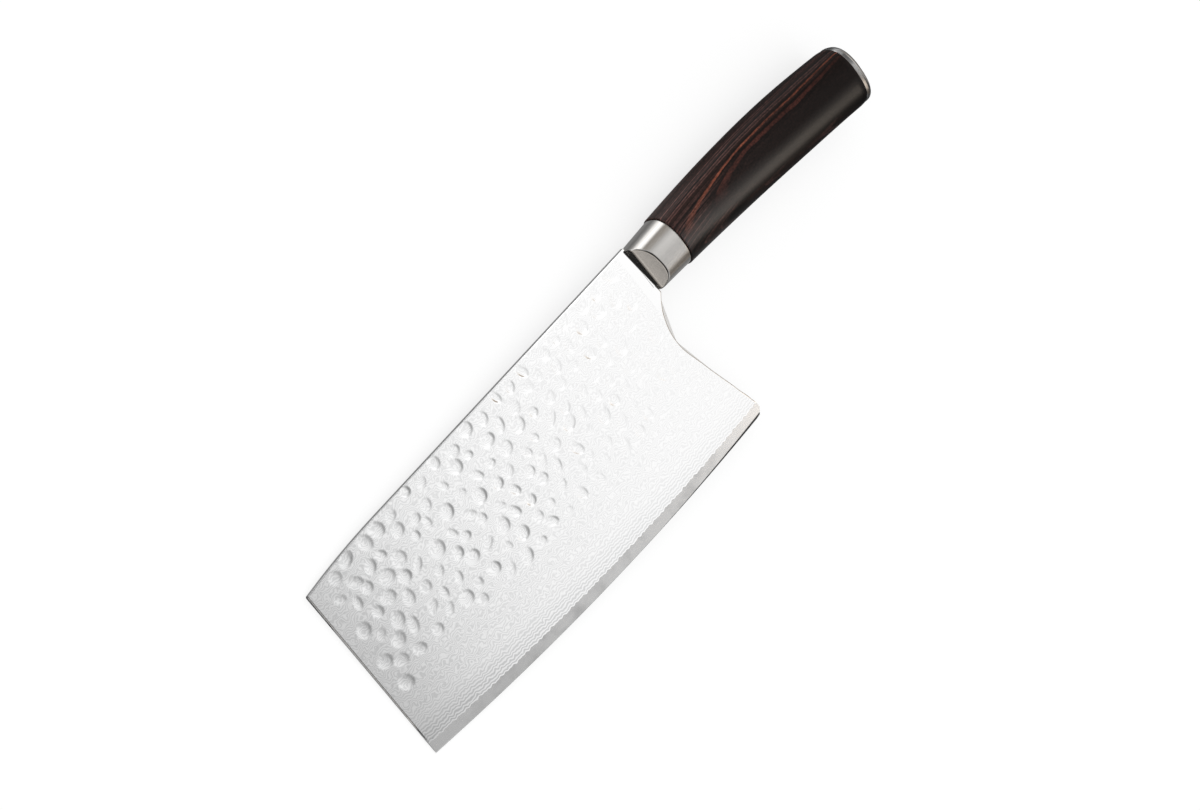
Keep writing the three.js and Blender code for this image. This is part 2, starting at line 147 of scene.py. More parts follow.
class CleaverGrip(bpy.types.PropertyGroup):
    """Sizes of bolster, grip and end cap."""

    axis_drop: length("Axis drop", "Grip axis below the spine line at the bolster", 10.95)
    axis_fall: length("Axis fall", "Further fall of the axis at the butt", 7.1)
    axis_curl: number("Axis curl", "Exponent of that fall", 2.35)
    butt_rake: angle("Butt rake", "Lean of the butt", 3.5)
    power: number("Section power", "Superellipse exponent of the grip", 2.4)
    nose_power: number("Nose power", "Superellipse exponent at the nose", 2.5)
    bolster_long: length("Bolster length", "Nose to wood", 16.4)
    nose_high: length("Nose height", "Height of the bolster's front", 19.7)
    joint_high: length("Joint height", "Height of the bolster at the wood", 21.2)
    nose_wide: length("Nose width", "Width the bolster would have at its front", 17.8)
    joint_wide: length("Joint width", "Width of the bolster at the wood", 19.2)
    nose_rake: angle("Nose rake", "Lean of the front face", 3.2)
    nose_flat: length("Nose flat", "Width of the front face between the facets", 6.6)
    facet_lean: angle("Facet lean", "Facet to the blade plane", 60)
    facet_twist: angle("Facet twist", "Turn of the facet about the knife's length", -5)
    nose_edge: length("Edge break", "Rounding of the bolster's edges", 0.5)
    wood_gap: length("Wood gap", "Glue line between wood and steel", 0.1)
    wood_long: length("Wood length", "Length of the wooden grip", 102.4)
    high_front: length("Height, front", "Grip height at the bolster", 22.1)
    high_palm: length("Height, palm", "Grip height at one third", 24.66)
    high_swell: length("Height, swell", "Grip height at two thirds", 26.2)
    high_butt: length("Height, butt", "Grip height at the cap", 25.6)
    wide_front: length("Width, front", "Grip width at the bolster", 19.8)
    wide_palm: length("Width, palm", "Grip width at one third", 20.8)
    wide_swell: length("Width, swell", "Grip width at two thirds", 21.16)
    wide_butt: length("Width, butt", "Grip width at the cap", 20.58)
    end_round: length("End round", "How far the wood is drawn in at the cap", 0.25)
    end_round_long: length("End round length", "Length of that rounding", 3)
    front_round: length("Front round", "Softened front edge of the wood", 0.35)
    cap_thick: length("Cap thickness", "Thickness of the end cap", 3.38)
    cap_rim: length("Cap rim", "Rounding of the cap's rim along the knife", 2.2)
    cap_inset: length("Cap inset", "Rounding of the cap's rim across the knife", 1.8)
    spigot_long: length("Spigot length", "Length of the cap's spigot", 6)
    spigot_wide: length("Spigot width", "Diameter of the cap's spigot", 12.4)


class CleaverFinish(bpy.types.PropertyGroup):
    """Colours of the finishes."""

    layer_bright: colour("Layer, bright", "Polished layers of the cladding", "#f8f8f8")
    layer_etched: colour("Layer, etched", "Layers darkened by the etch", "#b9babb")
    core: colour("Core", "Stone ground core steel", "#efefef")
    # The honed bevel's dark grey is a painted reflection of a dark room, not the steel's own colour.
    honed: colour("Honed bevel", "Burnished bevel at the edge", "#3c3c3d")
    bolster: colour("Bolster", "Brushed stainless", "#bab8b5")
    cap: colour("End cap", "Brushed stainless", "#cecece")
    wood_base: colour("Wood, base", "Dark brown veneer", "#1a100e")
    wood_black: colour("Wood, black", "Near black veneer", "#0b0707")
    wood_brown: colour("Wood, brown", "Middle brown veneer", "#2d1d19")
    wood_red: colour("Wood, red", "Red brown veneer", "#4a261f")
    wood_orange: colour("Wood, orange", "Orange brown veneer", "#7d4330")
    wood_pink: colour("Wood, pink", "Pale pinkish veneer", "#62433e")
    floor: colour("Floor", "Plain pale floor", "#fbfbfb")


def knife_matrix():
    """The knife's frame in the part's: origin on the spine at the bolster, x to the butt, y to the spine."""
    mounts = {mount["name"]: mount for mount in frame["record"]["mounts"]}
    up = Vector(mounts["spine_face"]["axis"]).normalized()
    left = Vector(mounts["rack_face_left"]["axis"]) - Vector(mounts["rack_face_right"]["axis"])
    along = up.cross(left).normalized()
    out = along.cross(up)
    origin = Vector(mounts["spine_face"]["pos_m"]) + SPINE_MOUNT * along
    turn = Matrix((along, up, out)).transposed()
    return Matrix.Translation(origin) @ turn.to_4x4()


KNIFE = knife_matrix()


def placed(points):
    """Points of the knife's frame in the part's frame."""
    turn = np.array(KNIFE.to_3x3())
    return np.asarray(points, float) @ turn.T + np.array(KNIFE.translation)


def add(tree, kind, inputs=None, stops=None, **settings):
    """Adds a node and gives its outputs, from its properties, its input sockets and a ramp's stops."""
    # A kind without a prefix is a shader node. Map Range takes its value in socket 0 and its limits in 1
    # to 4, and Mix takes its colours in 6 and 7 and gives its colour in output 2.
    new = tree.nodes.new(kind if "Node" in kind else "ShaderNode" + kind)
    for name, value in settings.items():
        setattr(new, name, value)
    if stops:
        ramp = new.color_ramp
        while len(ramp.elements) < len(stops):
            ramp.elements.new(1.0)
        for element, (place, shade) in zip(ramp.elements, stops):
            element.position, element.color = place, shade
    for name, value in (inputs or {}).items():
        if isinstance(value, bpy.types.NodeSocket):
            tree.links.new(value, new.inputs[name])
        else:
            new.inputs[name].default_value = value
    return new.outputs


def new_material(name):
    """An empty node material and its tree."""
    material = bpy.data.materials.new(name)
    material.use_nodes = True
    material.node_tree.nodes.clear()
    return material, material.node_tree


def knife_coordinates(tree, cell=None):
    """Object coordinates in the knife's frame, in millimetres, or in cells of these millimetres."""
    back = KNIFE.inverted()
    turned = add(tree, "Mapping", {
        "Vector": add(tree, "TexCoord")["Object"],
        "Location": back.translation * MM,
        "Rotation": back.to_euler(),
        "Scale": (MM, MM, MM),
    })[0]
    if cell is None:
        return turned
    return add(tree, "Mapping", {"Vector": turned, "Scale": [1 / size for size in cell]})[0]


def finish_material(tree, **sockets):
    """Ends a material in one Principled shader."""
    shader = add(tree, "BsdfPrincipled", {name.replace("_", " "): value for name, value in sockets.items()})
    add(tree, "OutputMaterial", {"Surface": shader[0]})


def dimmed(shade, share):
    """A colour at a share of its brightness."""
    return (*[part * share for part in shade[:3]], 1)


def etched_cladding(finish):
    """Etched laminated stainless, polished over the etch."""
    # Fine grey lines where the etch bit, level with the edge low down, in worms and rings higher up, where
    # the hammer bent the layers. Real ones are near 0.75 mm apart, drawn at 1.2 mm to show.
    line_pitch = 1.2
    material, tree = new_material("etched_laminated_stainless")
    place = knife_coordinates(tree)
    level = add(tree, "Attribute", attribute_name="layer_mm")["Fac"]
    dent = add(tree, "Attribute", attribute_name="dent_mm")["Fac"]
    # Low down the layers only ripple over 2 mm; higher up they also bend over 3 mm into closed worms, and the
    # marks bring up deeper layers.
    ripple, bend = [add(tree, "TexNoise", {"Vector": place, "Scale": 1 / size, "Detail": 1})["Fac"]
                    for size in (2.2, 3)]
    swing = add(tree, "MapRange", {0: level, 1: 3, 2: 14, 3: 0, 4: 7}, interpolation_type="SMOOTHSTEP")[0]
    pull = add(tree, "Math", {0: bend, 1: 0.5}, operation="SUBTRACT")[0]
    bent = level
    for push, gain in ((ripple, 1.6), (pull, swing), (dent, 14)):
        bent = add(tree, "Math", {0: push, 1: gain, 2: bent}, operation="MULTIPLY_ADD")[0]
    turns = add(tree, "Math", {0: bent, 1: 2 * math.pi / line_pitch}, operation="MULTIPLY")[0]
    wave = add(tree, "Math", {0: turns}, operation="SINE")[0]
    line = add(tree, "MapRange", {0: wave, 1: -1, 2: 1})[0]
    # The lines fade from the core up, and a bright unetched line stands beside the core.
    fade = add(tree, "MapRange", {0: level, 1: 0.5, 2: 9, 3: 0.75, 4: 0.42},
               interpolation_type="SMOOTHSTEP")[0]
    clear = add(tree, "MapRange", {0: level, 1: 0.32, 2: 0.5})[0]
    # Beside the bolster the resist kept the etch off, and the strip is polished.
    axes = add(tree, "SeparateXYZ", {0: place})
    ahead = add(tree, "MapRange", {0: axes[0], 1: -4.9, 2: -4.4, 3: 1, 4: 0})[0]
    beneath = add(tree, "MapRange", {0: axes[1], 1: -30, 2: -24, 3: 1, 4: 0})[0]
    dipped = add(tree, "Math", {0: ahead, 1: beneath}, operation="MAXIMUM")[0]
    # The etch bit deepest at the tip, which was dipped first.
    bitten = add(tree, "MapRange", {0: axes[0], 1: -160, 2: -10, 3: 1, 4: 0.35})[0]
    etch = fade
    for share in (clear, dipped, bitten, line):
        etch = add(tree, "Math", {0: etch, 1: share}, operation="MULTIPLY")[0]
    shade = add(tree, "Mix", {0: etch, 6: finish.layer_bright, 7: finish.layer_etched}, data_type="RGBA")[2]
    ground = add(tree, "MapRange", {0: dipped, 3: 0.04, 4: 0.07})[0]
    rough = add(tree, "Math", {0: etch, 1: 0.12, 2: ground}, operation="MULTIPLY_ADD")[0]
    # The etch leaves the dark layers about 2 thousandths of a millimetre lower.
    relief = add(tree, "Bump", {"Height": etch, "Distance": -0.000002})[0]
    finish_material(tree, Base_Color=shade, Metallic=1.0, Roughness=rough, Normal=relief)
    return material


def ground_core(finish):
    """Core steel ground on a fine stone."""
    # Cloudy satin grey, lighter at heel and tip as a painted highlight, with a narrow honed bevel drawn dark
    # as a painted reflection that widens towards the heel, and hair-fine scratches along the edge, real ones
    # are near 0.02 mm, drawn at
    # 0.2 mm to show.
    material, tree = new_material("stone_ground_core_steel")
    height = add(tree, "Attribute", attribute_name="edge_mm")["Fac"]
    place = knife_coordinates(tree)
    along = add(tree, "SeparateXYZ", {0: place})[0]
    scratch = knife_coordinates(tree, (6, 0.2, 0.2))
    grit = add(tree, "TexNoise", {"Vector": scratch, "Scale": 1, "Detail": 3})["Fac"]
    cloud = add(tree, "TexNoise", {"Vector": place, "Scale": 1 / 6, "Detail": 2})["Fac"]
    mixed = add(tree, "Math", {0: grit, 1: 0.3, 2: cloud}, operation="MULTIPLY_ADD")[0]
    ground = add(tree, "ValToRGB", {"Fac": mixed}, stops=[
        (0.35, dimmed(finish.core, 0.5)), (0.7, dimmed(finish.core, 0.66))])[0]
    # Painted highlight: the core is drawn lighter at the heel, where the curved grind catches the light, and
    # at the tip.
    at_heel = add(tree, "MapRange", {0: along, 1: -40, 2: 0, 3: 0.05, 4: 0.6})[0]
    at_tip = add(tree, "MapRange", {0: along, 1: -172, 2: -138, 3: 0.6, 4: 0})[0]
    painted_heel_tip_highlight = add(tree, "Math", {0: at_heel, 1: at_tip}, operation="ADD")[0]
    lifted = add(tree, "Mix", {0: painted_heel_tip_highlight, 6: ground, 7: finish.core}, data_type="RGBA")[2]
    # Painted reflection: the honed bevel is drawn in dark grey that stands for the dark room it mirrors.
    bevel = add(tree, "MapRange", {0: along, 1: -62, 2: 0, 3: 0.05, 4: 0.95})[0]
    past = add(tree, "Math", {0: height, 1: bevel}, operation="DIVIDE")[0]
    honed = add(tree, "MapRange", {0: past, 1: 0.75, 2: 1.1, 3: 1, 4: 0})[0]
    shade = add(tree, "Mix", {0: honed, 6: lifted, 7: finish.honed}, data_type="RGBA")[2]
    rough = add(tree, "MapRange", {0: grit, 1: 0.3, 2: 0.7, 3: 0.18, 4: 0.27})[0]
    relief = add(tree, "Bump", {"Height": grit, "Distance": 0.0000015})[0]
    finish_material(tree, Base_Color=shade, Metallic=1.0, Roughness=rough, Normal=relief)
    return material


def brushed_stainless(name, steel):
    """Stainless brushed along the grip."""
    # Satin sheen drawn out in streaks along the knife, belt lines are near 0.05 mm, drawn at 0.16 mm to show.
    material, tree = new_material(name)
    belt, blotch = [knife_coordinates(tree, cell) for cell in ((7, 0.16, 0.16), (25 / 3, 2, 2))]
    streak = add(tree, "TexNoise", {"Vector": belt, "Scale": 1, "Detail": 4, "Roughness": 0.6})["Fac"]
    patch = add(tree, "TexNoise", {"Vector": blotch, "Scale": 1, "Detail": 2})["Fac"]
    mixed = add(tree, "Math", {0: patch, 1: 0.15, 2: streak}, operation="MULTIPLY_ADD")[0]
    dark, light = 0.4, 0.75
    shade = add(tree, "ValToRGB", {"Fac": mixed}, stops=[(dark, dimmed(steel, 0.82)), (light, steel)])[0]
    rough = add(tree, "MapRange", {0: mixed, 1: dark, 2: light, 3: 0.14, 4: 0.22})[0]
    relief = add(tree, "Bump", {"Height": streak, "Distance": 0.0000015})[0]
    finish_material(tree, Base_Color=shade, Metallic=1.0, Roughness=rough, Normal=relief)
    return material


def pressed_veneers(finish):
    """Dark dyed veneers pressed with resin and polished."""
    # Thin brown, red and near black layers that run along the grip and show as fine lines on the spine side,
    # where the oval cuts through them, and as broad dark patches on the flat; specks of pores under a satin
    # polish.
    material, tree = new_material("resin_pressed_veneers")
    black, base, brown = finish.wood_black, finish.wood_base, finish.wood_brown
    red, orange, pink = finish.wood_red, finish.wood_orange, finish.wood_pink
    place = knife_coordinates(tree)
    axes = add(tree, "SeparateXYZ", {0: place})
    along, out = axes[0], axes[2]
    side = add(tree, "Attribute", attribute_name="spine_side")["Fac"]
    wander, feather, dye, pores = [
        add(tree, "TexNoise", {"Vector": knife_coordinates(tree, cell), "Scale": 1, "Detail": detail})["Fac"]
        for cell, detail in (((34, 9, 9), 2), ((3, 0.5, 0.5), 2), ((18, 3, 3), 3), ((2.6, 0.16, 0.16), 3))]
    # The veneers climb to the left face at the bolster and sink towards the butt, fan out a little, wander
    # over about 34 mm and have feathered edges.
    front, butt = 16, 120
    span = add(tree, "MapRange", {0: along, 1: front, 2: butt})[0]
    climbs = ((16, 3.5), (22, 3.1), (35, 2.55), (48, 2.05), (60, 1.75), (90, 1.75), (105, 1.3), (120, 0.5))
    climb = add(tree, "ValToRGB", {"Fac": span}, stops=[
        ((at - front) / (butt - front), (value, value, value, 1)) for at, value in climbs])[0]
    fan = add(tree, "MapRange", {0: out, 1: 0, 2: 10.2, 3: 0.03, 4: 0})[0]
    from_middle = add(tree, "Math", {0: along, 1: 45}, operation="SUBTRACT")[0]
    layer = add(tree, "Math", {0: out, 1: climb}, operation="SUBTRACT")[0]
    for push, gain in ((from_middle, fan), (wander, 0.6), (feather, 0.2)):
        layer = add(tree, "Math", {0: push, 1: gain, 2: layer}, operation="MULTIPLY_ADD")[0]
    layer = add(tree, "Math", {0: layer, 1: 1.6}, operation="ADD")[0]
    # Veneers are near 0.6 mm thick, drawn at 1.2 mm to show, lean with the spine side and carry finer dyed
    # lines.
    leaned = add(tree, "Math", {0: side, 1: -8.0, 2: layer}, operation="MULTIPLY_ADD")[0]
    fine = add(tree, "TexNoise", {"W": leaned, "Scale": 1.1, "Detail": 3, "Roughness": 0.7},
               noise_dimensions="1D")["Fac"]
    lines = add(tree, "ValToRGB", {"Fac": fine}, stops=[
        (0.38, black), (0.44, base), (0.50, brown), (0.54, base), (0.60, pink), (0.66, brown)])[0]
    flat = add(tree, "MapRange", {0: layer, 1: 9.1, 2: 9.7}, interpolation_type="SMOOTHSTEP")[0]
    plain = add(tree, "Mix", {0: flat, 6: lines, 7: base}, data_type="RGBA")[2]
    # A pink, an orange and a red veneer, each between black ones, strongest on the spine side.
    first, last = 5.0, 10.8
    streaks = add(tree, "MapRange", {0: layer, 1: first, 2: last})[0]
    warm = add(tree, "ValToRGB", {"Fac": streaks}, stops=[
        ((at - first) / (last - first), (*shade[:3], share)) for at, shade, share in (
            (5.15, black, 0.0), (5.3, black, 0.8), (5.36, pink, 1.0), (5.52, pink, 0.9),
            (5.6, black, 0.7), (5.75, black, 0.0), (8.1, black, 0.0), (8.35, black, 0.9),
            (8.62, black, 0.9), (8.7, orange, 1.0), (8.98, orange, 1.0), (9.06, black, 0.9),
            (9.18, black, 0.6), (9.3, brown, 0.3), (9.45, black, 0.8), (9.55, base, 0.2),
            (9.65, black, 0.9), (9.74, red, 0.95), (10.1, red, 0.9), (10.2, black, 0.9),
            (10.32, base, 0.2), (10.42, black, 0.8), (10.5, brown, 0.4), (10.7, base, 0.0))])
    upper = add(tree, "MapRange", {0: side, 1: -0.05, 2: 0.2, 3: 0.1, 4: 1})[0]
    # The dye runs out here and there along a veneer, and towards the bolster.
    taken = add(tree, "MapRange", {0: dye, 1: 0.35, 2: 0.6, 3: 0.4, 4: 1})[0]
    paled = add(tree, "MapRange", {0: along, 1: 20, 2: 55, 3: 0.3, 4: 1})[0]
    share = upper
    for part in (paled, taken, warm[1]):
        share = add(tree, "Math", {0: share, 1: part}, operation="MULTIPLY")[0]
    streaked = add(tree, "Mix", {0: share, 6: plain, 7: warm[0]}, data_type="RGBA")[2]
    # Pores are 0.1 mm wide and a few millimetres long, drawn at 0.16 mm to show, and cut ends are specks of
    # 0.8 mm.
    specks = add(tree, "TexNoise", {"Vector": place, "Scale": 1 / 0.8, "Detail": 2})["Fac"]
    mottle = add(tree, "Math", {0: pores, 1: specks}, operation="ADD")[0]
    grain = add(tree, "MapRange", {0: mottle, 1: 0.75, 2: 1.25, 3: 0.45, 4: 1.55})[0]
    # Painted shade darkens the wood towards the belly; the wood is also darker towards the butt.
    belly_shade_and_grain = add(tree, "MapRange", {0: side, 1: -0.6, 2: 0.1, 3: 0.35, 4: 1})[0]
    darker = add(tree, "MapRange", {0: along, 1: 20, 2: 100, 3: 1.1, 4: 0.55})[0]
    for part in (darker, grain):
        belly_shade_and_grain = add(tree, "Math", {0: belly_shade_and_grain, 1: part}, operation="MULTIPLY")[0]
    grained = add(tree, "Mix", {0: 1.0, 6: streaked, 7: belly_shade_and_grain}, data_type="RGBA", blend_type="MULTIPLY")[2]
    rough = add(tree, "MapRange", {0: pores, 1: 0.35, 2: 0.65, 3: 0.42, 4: 0.32})[0]
    relief = add(tree, "Bump", {"Height": pores, "Distance": 0.000012, "Strength": 0.6})[0]
    # The flats of the grip are buffed to a soft sheen, the spine and belly stay matt.
    slip = add(tree, "MapRange", {0: along, 1: 25, 2: 75, 3: 0.16, 4: 0.34})[0]
    flank = add(tree, "Math", {0: side, 1: slip}, operation="ADD")[0]
    turned = add(tree, "Math", {0: flank}, operation="ABSOLUTE")[0]
    buffed = add(tree, "MapRange", {0: turned, 1: 0.08, 2: 0.34, 3: 1.0, 4: 0.02})[0]
    finish_material(tree, Base_Color=grained, Roughness=rough, Normal=relief, IOR=1.5,
                    Specular_IOR_Level=0.15, Coat_Weight=buffed, Coat_Roughness=0.26)
    return material


def rough_steel(name, hex_light, hex_dark, size, roughness, relief):
    """Unpolished steel inside the grip, mottled over size millimetres."""
    # Dull grey with darker scale in the hollows.
    material, tree = new_material(name)
    scale = add(tree, "TexNoise", {"Vector": knife_coordinates(tree), "Scale": 1 / size, "Detail": 5})["Fac"]
    shade = add(tree, "ValToRGB", {"Fac": scale}, stops=[
        (0.35, linear(hex_dark)), (0.65, linear(hex_light))])[0]
    rough = add(tree, "MapRange", {0: scale, 1: 0.3, 2: 0.7, 3: roughness + 0.12, 4: roughness - 0.08})[0]
    bump = add(tree, "Bump", {"Height": scale, "Distance": relief})[0]
    finish_material(tree, Base_Color=shade, Metallic=1.0, Roughness=rough, Normal=bump)
    return material


def cast_epoxy():
    """Amber epoxy, cast round the tang."""
    # Honey brown and glossy, with faint clouds and small bubbles about 0.6 mm across.
    material, tree = new_material("cast_epoxy")
    place = knife_coordinates(tree)
    cloud = add(tree, "TexNoise", {"Vector": place, "Scale": 1 / 5, "Detail": 3})["Fac"]
    bubble = add(tree, "TexVoronoi", {"Vector": place, "Scale": 1 / 2.4})["Distance"]
    pit = add(tree, "MapRange", {0: bubble, 1: 0.05, 2: 0.16})[0]
    shade = add(tree, "ValToRGB", {"Fac": cloud}, stops=[
        (0.35, linear("#4f3f26")), (0.65, linear("#7d6742"))])[0]
    rough = add(tree, "MapRange", {0: cloud, 1: 0.3, 2: 0.7, 3: 0.25, 4: 0.4})[0]
    relief = add(tree, "Bump", {"Height": pit, "Distance": 0.00012})[0]
    finish_material(tree, Base_Color=shade, Roughness=rough, Normal=relief, IOR=1.55)
    return material


def bezier(start, pull, end, steps):
    """Points of a quadratic curve."""
    t = np.linspace(0, 1, steps + 1)[:, None]
    return (1 - t) ** 2 * np.array(start) + 2 * t * (1 - t) * np.array(pull) + t ** 2 * np.array(end)


def edge_height(blade, x):
    """Height of the cutting edge at x."""
    return blade.edge_radius - blade.deep - np.sqrt(blade.edge_radius ** 2 - (x + blade.edge_low) ** 2)


def blade_sides(blade, grip):
    """The spine, tip and heel lines of the blade, each from the spine down, as points x, y."""
    drop = -(blade.long - blade.spine_drop_long)
    corner = -blade.long
    shoulder = lambda y: -y * math.tan(grip.nose_rake) - blade.nose_gap
    spine_end = (corner + blade.tip_corner, -blade.spine_drop)
    bend = (drop - blade.spine_drop_long / 2, -blade.spine_low)
    fall = bezier((drop, -blade.spine_low), bend, spine_end, 60)
    spine = np.vstack([[(shoulder(0), -blade.spine_low)], fall])
    low = -(blade.long + blade.tip_slant)
    turn = bezier(spine_end, (corner, -blade.spine_drop), (corner, -blade.spine_drop - blade.tip_corner), 12)
    tip = np.vstack([turn, [(low, edge_height(blade, low))]])
    heel_corner = np.array((blade.heel_reach, edge_height(blade, blade.heel_reach)))
    centre = np.array((blade.notch_radius - blade.notch_deep, -blade.notch_drop))
    reach = heel_corner - centre
    leave_angle = math.atan2(reach[1], reach[0]) % (2 * math.pi)
    leave_angle -= math.acos(blade.notch_radius / np.linalg.norm(reach))
    foot = shoulder(-grip.axis_drop - grip.nose_high / 2)
    foot_angle = math.acos((foot - centre[0]) / blade.notch_radius)
    sweep = np.linspace(foot_angle, leave_angle, 90)
    notch = centre + blade.notch_radius * np.stack([np.cos(sweep), np.sin(sweep)], 1)
    up = (notch[-1] - heel_corner) / np.linalg.norm(notch[-1] - heel_corner)
    start = blade.heel_reach - blade.heel_round
    rounded = bezier(heel_corner + up * blade.heel_round, heel_corner, (start, edge_height(blade, start)), 24)
    heel = np.vstack([[(shoulder(0), -blade.spine_low)], notch, rounded])
    return spine, tip, heel


def spine_height(sides, x):
    """Height of the spine line at x."""
    spine = sides[0]
    return np.interp(x, spine[::-1, 0], spine[::-1, 1])


def spread_rows(sides, lower, shares, across):
    """Points x, y between tip and heel lines, in rows at shares of the way from the spine to lower(x)."""
    tip, heel = sides[1:]
    top = lambda x: spine_height(sides, x)
    share_of = lambda line: (top(line[:, 0]) - line[:, 1]) / (top(line[:, 0]) - lower(line[:, 0]))
    grid = np.zeros((len(shares), len(across), 2))
    for row, share in enumerate(shares):
        at_tip, at_heel = [np.interp(share, share_of(line), line[:, 0]) for line in (tip, heel)]
        x = (1 - across) * at_tip + across * at_heel
        grid[row, :, 0] = x
        grid[row, :, 1] = (1 - share) * top(x) + share * lower(x)
    return grid


def rim_of(rows, columns):
    """Numbers of a grid's rim points, in order."""
    grid = np.arange(rows * columns).reshape(rows, columns)
    return np.concatenate([grid[0], grid[1:, -1], grid[-1, -2::-1], grid[-2:0:-1, 0]]).tolist()


def grid_faces(rows, columns, first=0):
    """Four sided faces of a grid."""
    faces = []
    for row in range(rows - 1):
        for column in range(columns - 1):
            near = first + row * columns + column
            faces.append((near, near + 1, near + columns + 1, near + columns))
    return faces


def box_faces(first):
    """Faces of a box whose eight corners follow number first, lower four and then upper four."""
    return [tuple(first + at for at in face) for face in
            ((0, 3, 2, 1), (4, 5, 6, 7), (0, 1, 5, 4), (1, 2, 6, 5), (2, 3, 7, 6), (3, 0, 4, 7))]


def box_points(low, high):
    """Corners of a box for box_faces."""
    (a, b, c), (d, e, f) = low, high
    return [(a, b, c), (d, b, c), (d, e, c), (a, e, c), (a, b, f), (d, b, f), (d, e, f), (a, e, f)]


def new_mesh(name, points, faces=()):
    """A mesh of these points and faces."""
    mesh = bpy.data.meshes.new(name)
    mesh.from_pydata([tuple(point) for point in points], [], faces)
    return mesh


def set_down(name, data):
    """Puts a new object into the scene."""
    new = bpy.data.objects.new(name, data)
    bpy.context.scene.collection.objects.link(new)
    return new


def note(mesh, name, kind, values):
    """Keeps a value for every point of a mesh, for the nodes to read."""
    field = "vector" if kind == "FLOAT_VECTOR" else "value"
    mesh.attributes.new(name, kind, "POINT").data.foreach_set(field, np.ravel(values))


def neck_points(blade, grip, low, high):
    """Corners of a layer of the neck that goes into the bolster, from height low to high."""
    up, down = [-grip.axis_drop + share * blade.neck_high / 2 for share in (1, -1)]
    return box_points((NECK_START, down, low), (blade.neck_end, up, high))


def make_piece(name, points, faces, material, crease=35):
    """A mesh object in the part's frame with faces outward, smooth up to the crease angle in degrees."""
    mesh = new_mesh(name, placed(points), faces)
    work = bmesh.new()
    work.from_mesh(mesh)
    bmesh.ops.recalc_face_normals(work, faces=work.faces)
    work.to_mesh(mesh)
    work.free()
    soften(mesh, crease)
    mesh.materials.append(material)
    return set_down(name, mesh)


def soften(mesh, crease):
    """Smooth shading that breaks at edges sharper than the crease angle in degrees."""
    mesh.polygons.foreach_set("use_smooth", [True] * len(mesh.polygons))
    mesh.set_sharp_from_angle(angle=math.radians(crease))


def flatten(piece, crease):
    """Turns a piece's modifiers into a plain mesh."""
    graph = bpy.context.evaluated_depsgraph_get()
    mesh = bpy.data.meshes.new_from_object(piece.evaluated_get(graph), depsgraph=graph)
    piece.modifiers.clear()
    piece.data = mesh
    soften(mesh, crease)


def dress(piece, node):
    """Puts a piece in the place of its solid."""
    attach(piece, "root")
    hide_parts(node)


def scatter(column, row, salt):
    """A repeatable number from 0 to 1 for a place in the pattern."""
    wave = math.sin(column * 12.9898 + row * 78.233 + salt * 37.719) * 43758.5453
    return wave - math.floor(wave)


def hammer_marks(blade, marks, side):
    """Place, turn and size of each mark on one side, as a mesh of points for the geometry nodes."""
    seed = marks.left_seed if side > 0 else marks.right_seed
    columns = math.floor((blade.long - marks.neck_margin - marks.tip_margin) / marks.pitch_along) + 2
    rows = math.ceil(marks.band_heel / marks.pitch_across)
    normal = Vector((-blade.distal_loss / blade.long, -blade.edge_loss / (blade.deep - blade.ground_band), 1))
    normal.z *= side
    normal.normalize()
    # The floors lie towards the heel and a little down, and swing about that, in radians. The depth grows
    # away from the bolster, is partly lost again in the thin tip, and differs from mark to mark.
    mean_turn, swing = -0.7, 0.6
    growth, thin_from = 2.2, 0.6
    mean_strength, uneven = 0.85, 0.25
    places, turns, sizes = [], [], []
    for row in range(rows):
        for column in range(columns):
            stray = lambda salt: 2 * scatter(column, row, salt + seed) - 1
            x = -marks.neck_margin - column * marks.pitch_along - (row % 2) * marks.pitch_along / 2
            x += marks.jitter * stray(1)
            y = -marks.spine_margin - row * marks.pitch_across + marks.jitter * stray(2)
            way = -x / blade.long
            band = marks.band_heel + (marks.band_tip - marks.band_heel) * way
            if y < -band or x < -blade.long + marks.tip_margin:
                continue
            turn = mean_turn + swing * stray(5)
            strength = marks.faint + (1 - marks.faint) * min(1, way * growth)
            strength -= marks.tip_loss * max(0, way - thin_from) / (1 - thin_from)
            strength *= mean_strength + uneven * stray(6)
            ahead = Vector((math.cos(turn), math.sin(turn), 0))
            ahead = (ahead - normal * ahead.dot(normal)).normalized()
            stand = KNIFE.to_3x3() @ Matrix((ahead, normal.cross(ahead), normal)).transposed()
            broad, tall = 1 + marks.spread * stray(3), 1 + marks.spread * stray(4)
            deep = marks.deep * strength * min(1, broad, tall)
            places.append((x, y, side * face_height(blade, x, y)))
            turns.append(stand.to_quaternion())
            sizes.append((marks.radius * broad, marks.radius * tall, deep))
    mesh = new_mesh("marks", placed(places))
    note(mesh, "turn", "QUATERNION", turns)
    note(mesh, "size", "FLOAT_VECTOR", sizes)
    return set_down("marks", mesh)


def face_height(blade, x, y):
    """Height of the flat tapered face above the middle of the blade."""
    return (blade.spine_thick / 2 + blade.distal_loss / blade.long * x
            + blade.edge_loss / (blade.deep - blade.ground_band) * y)


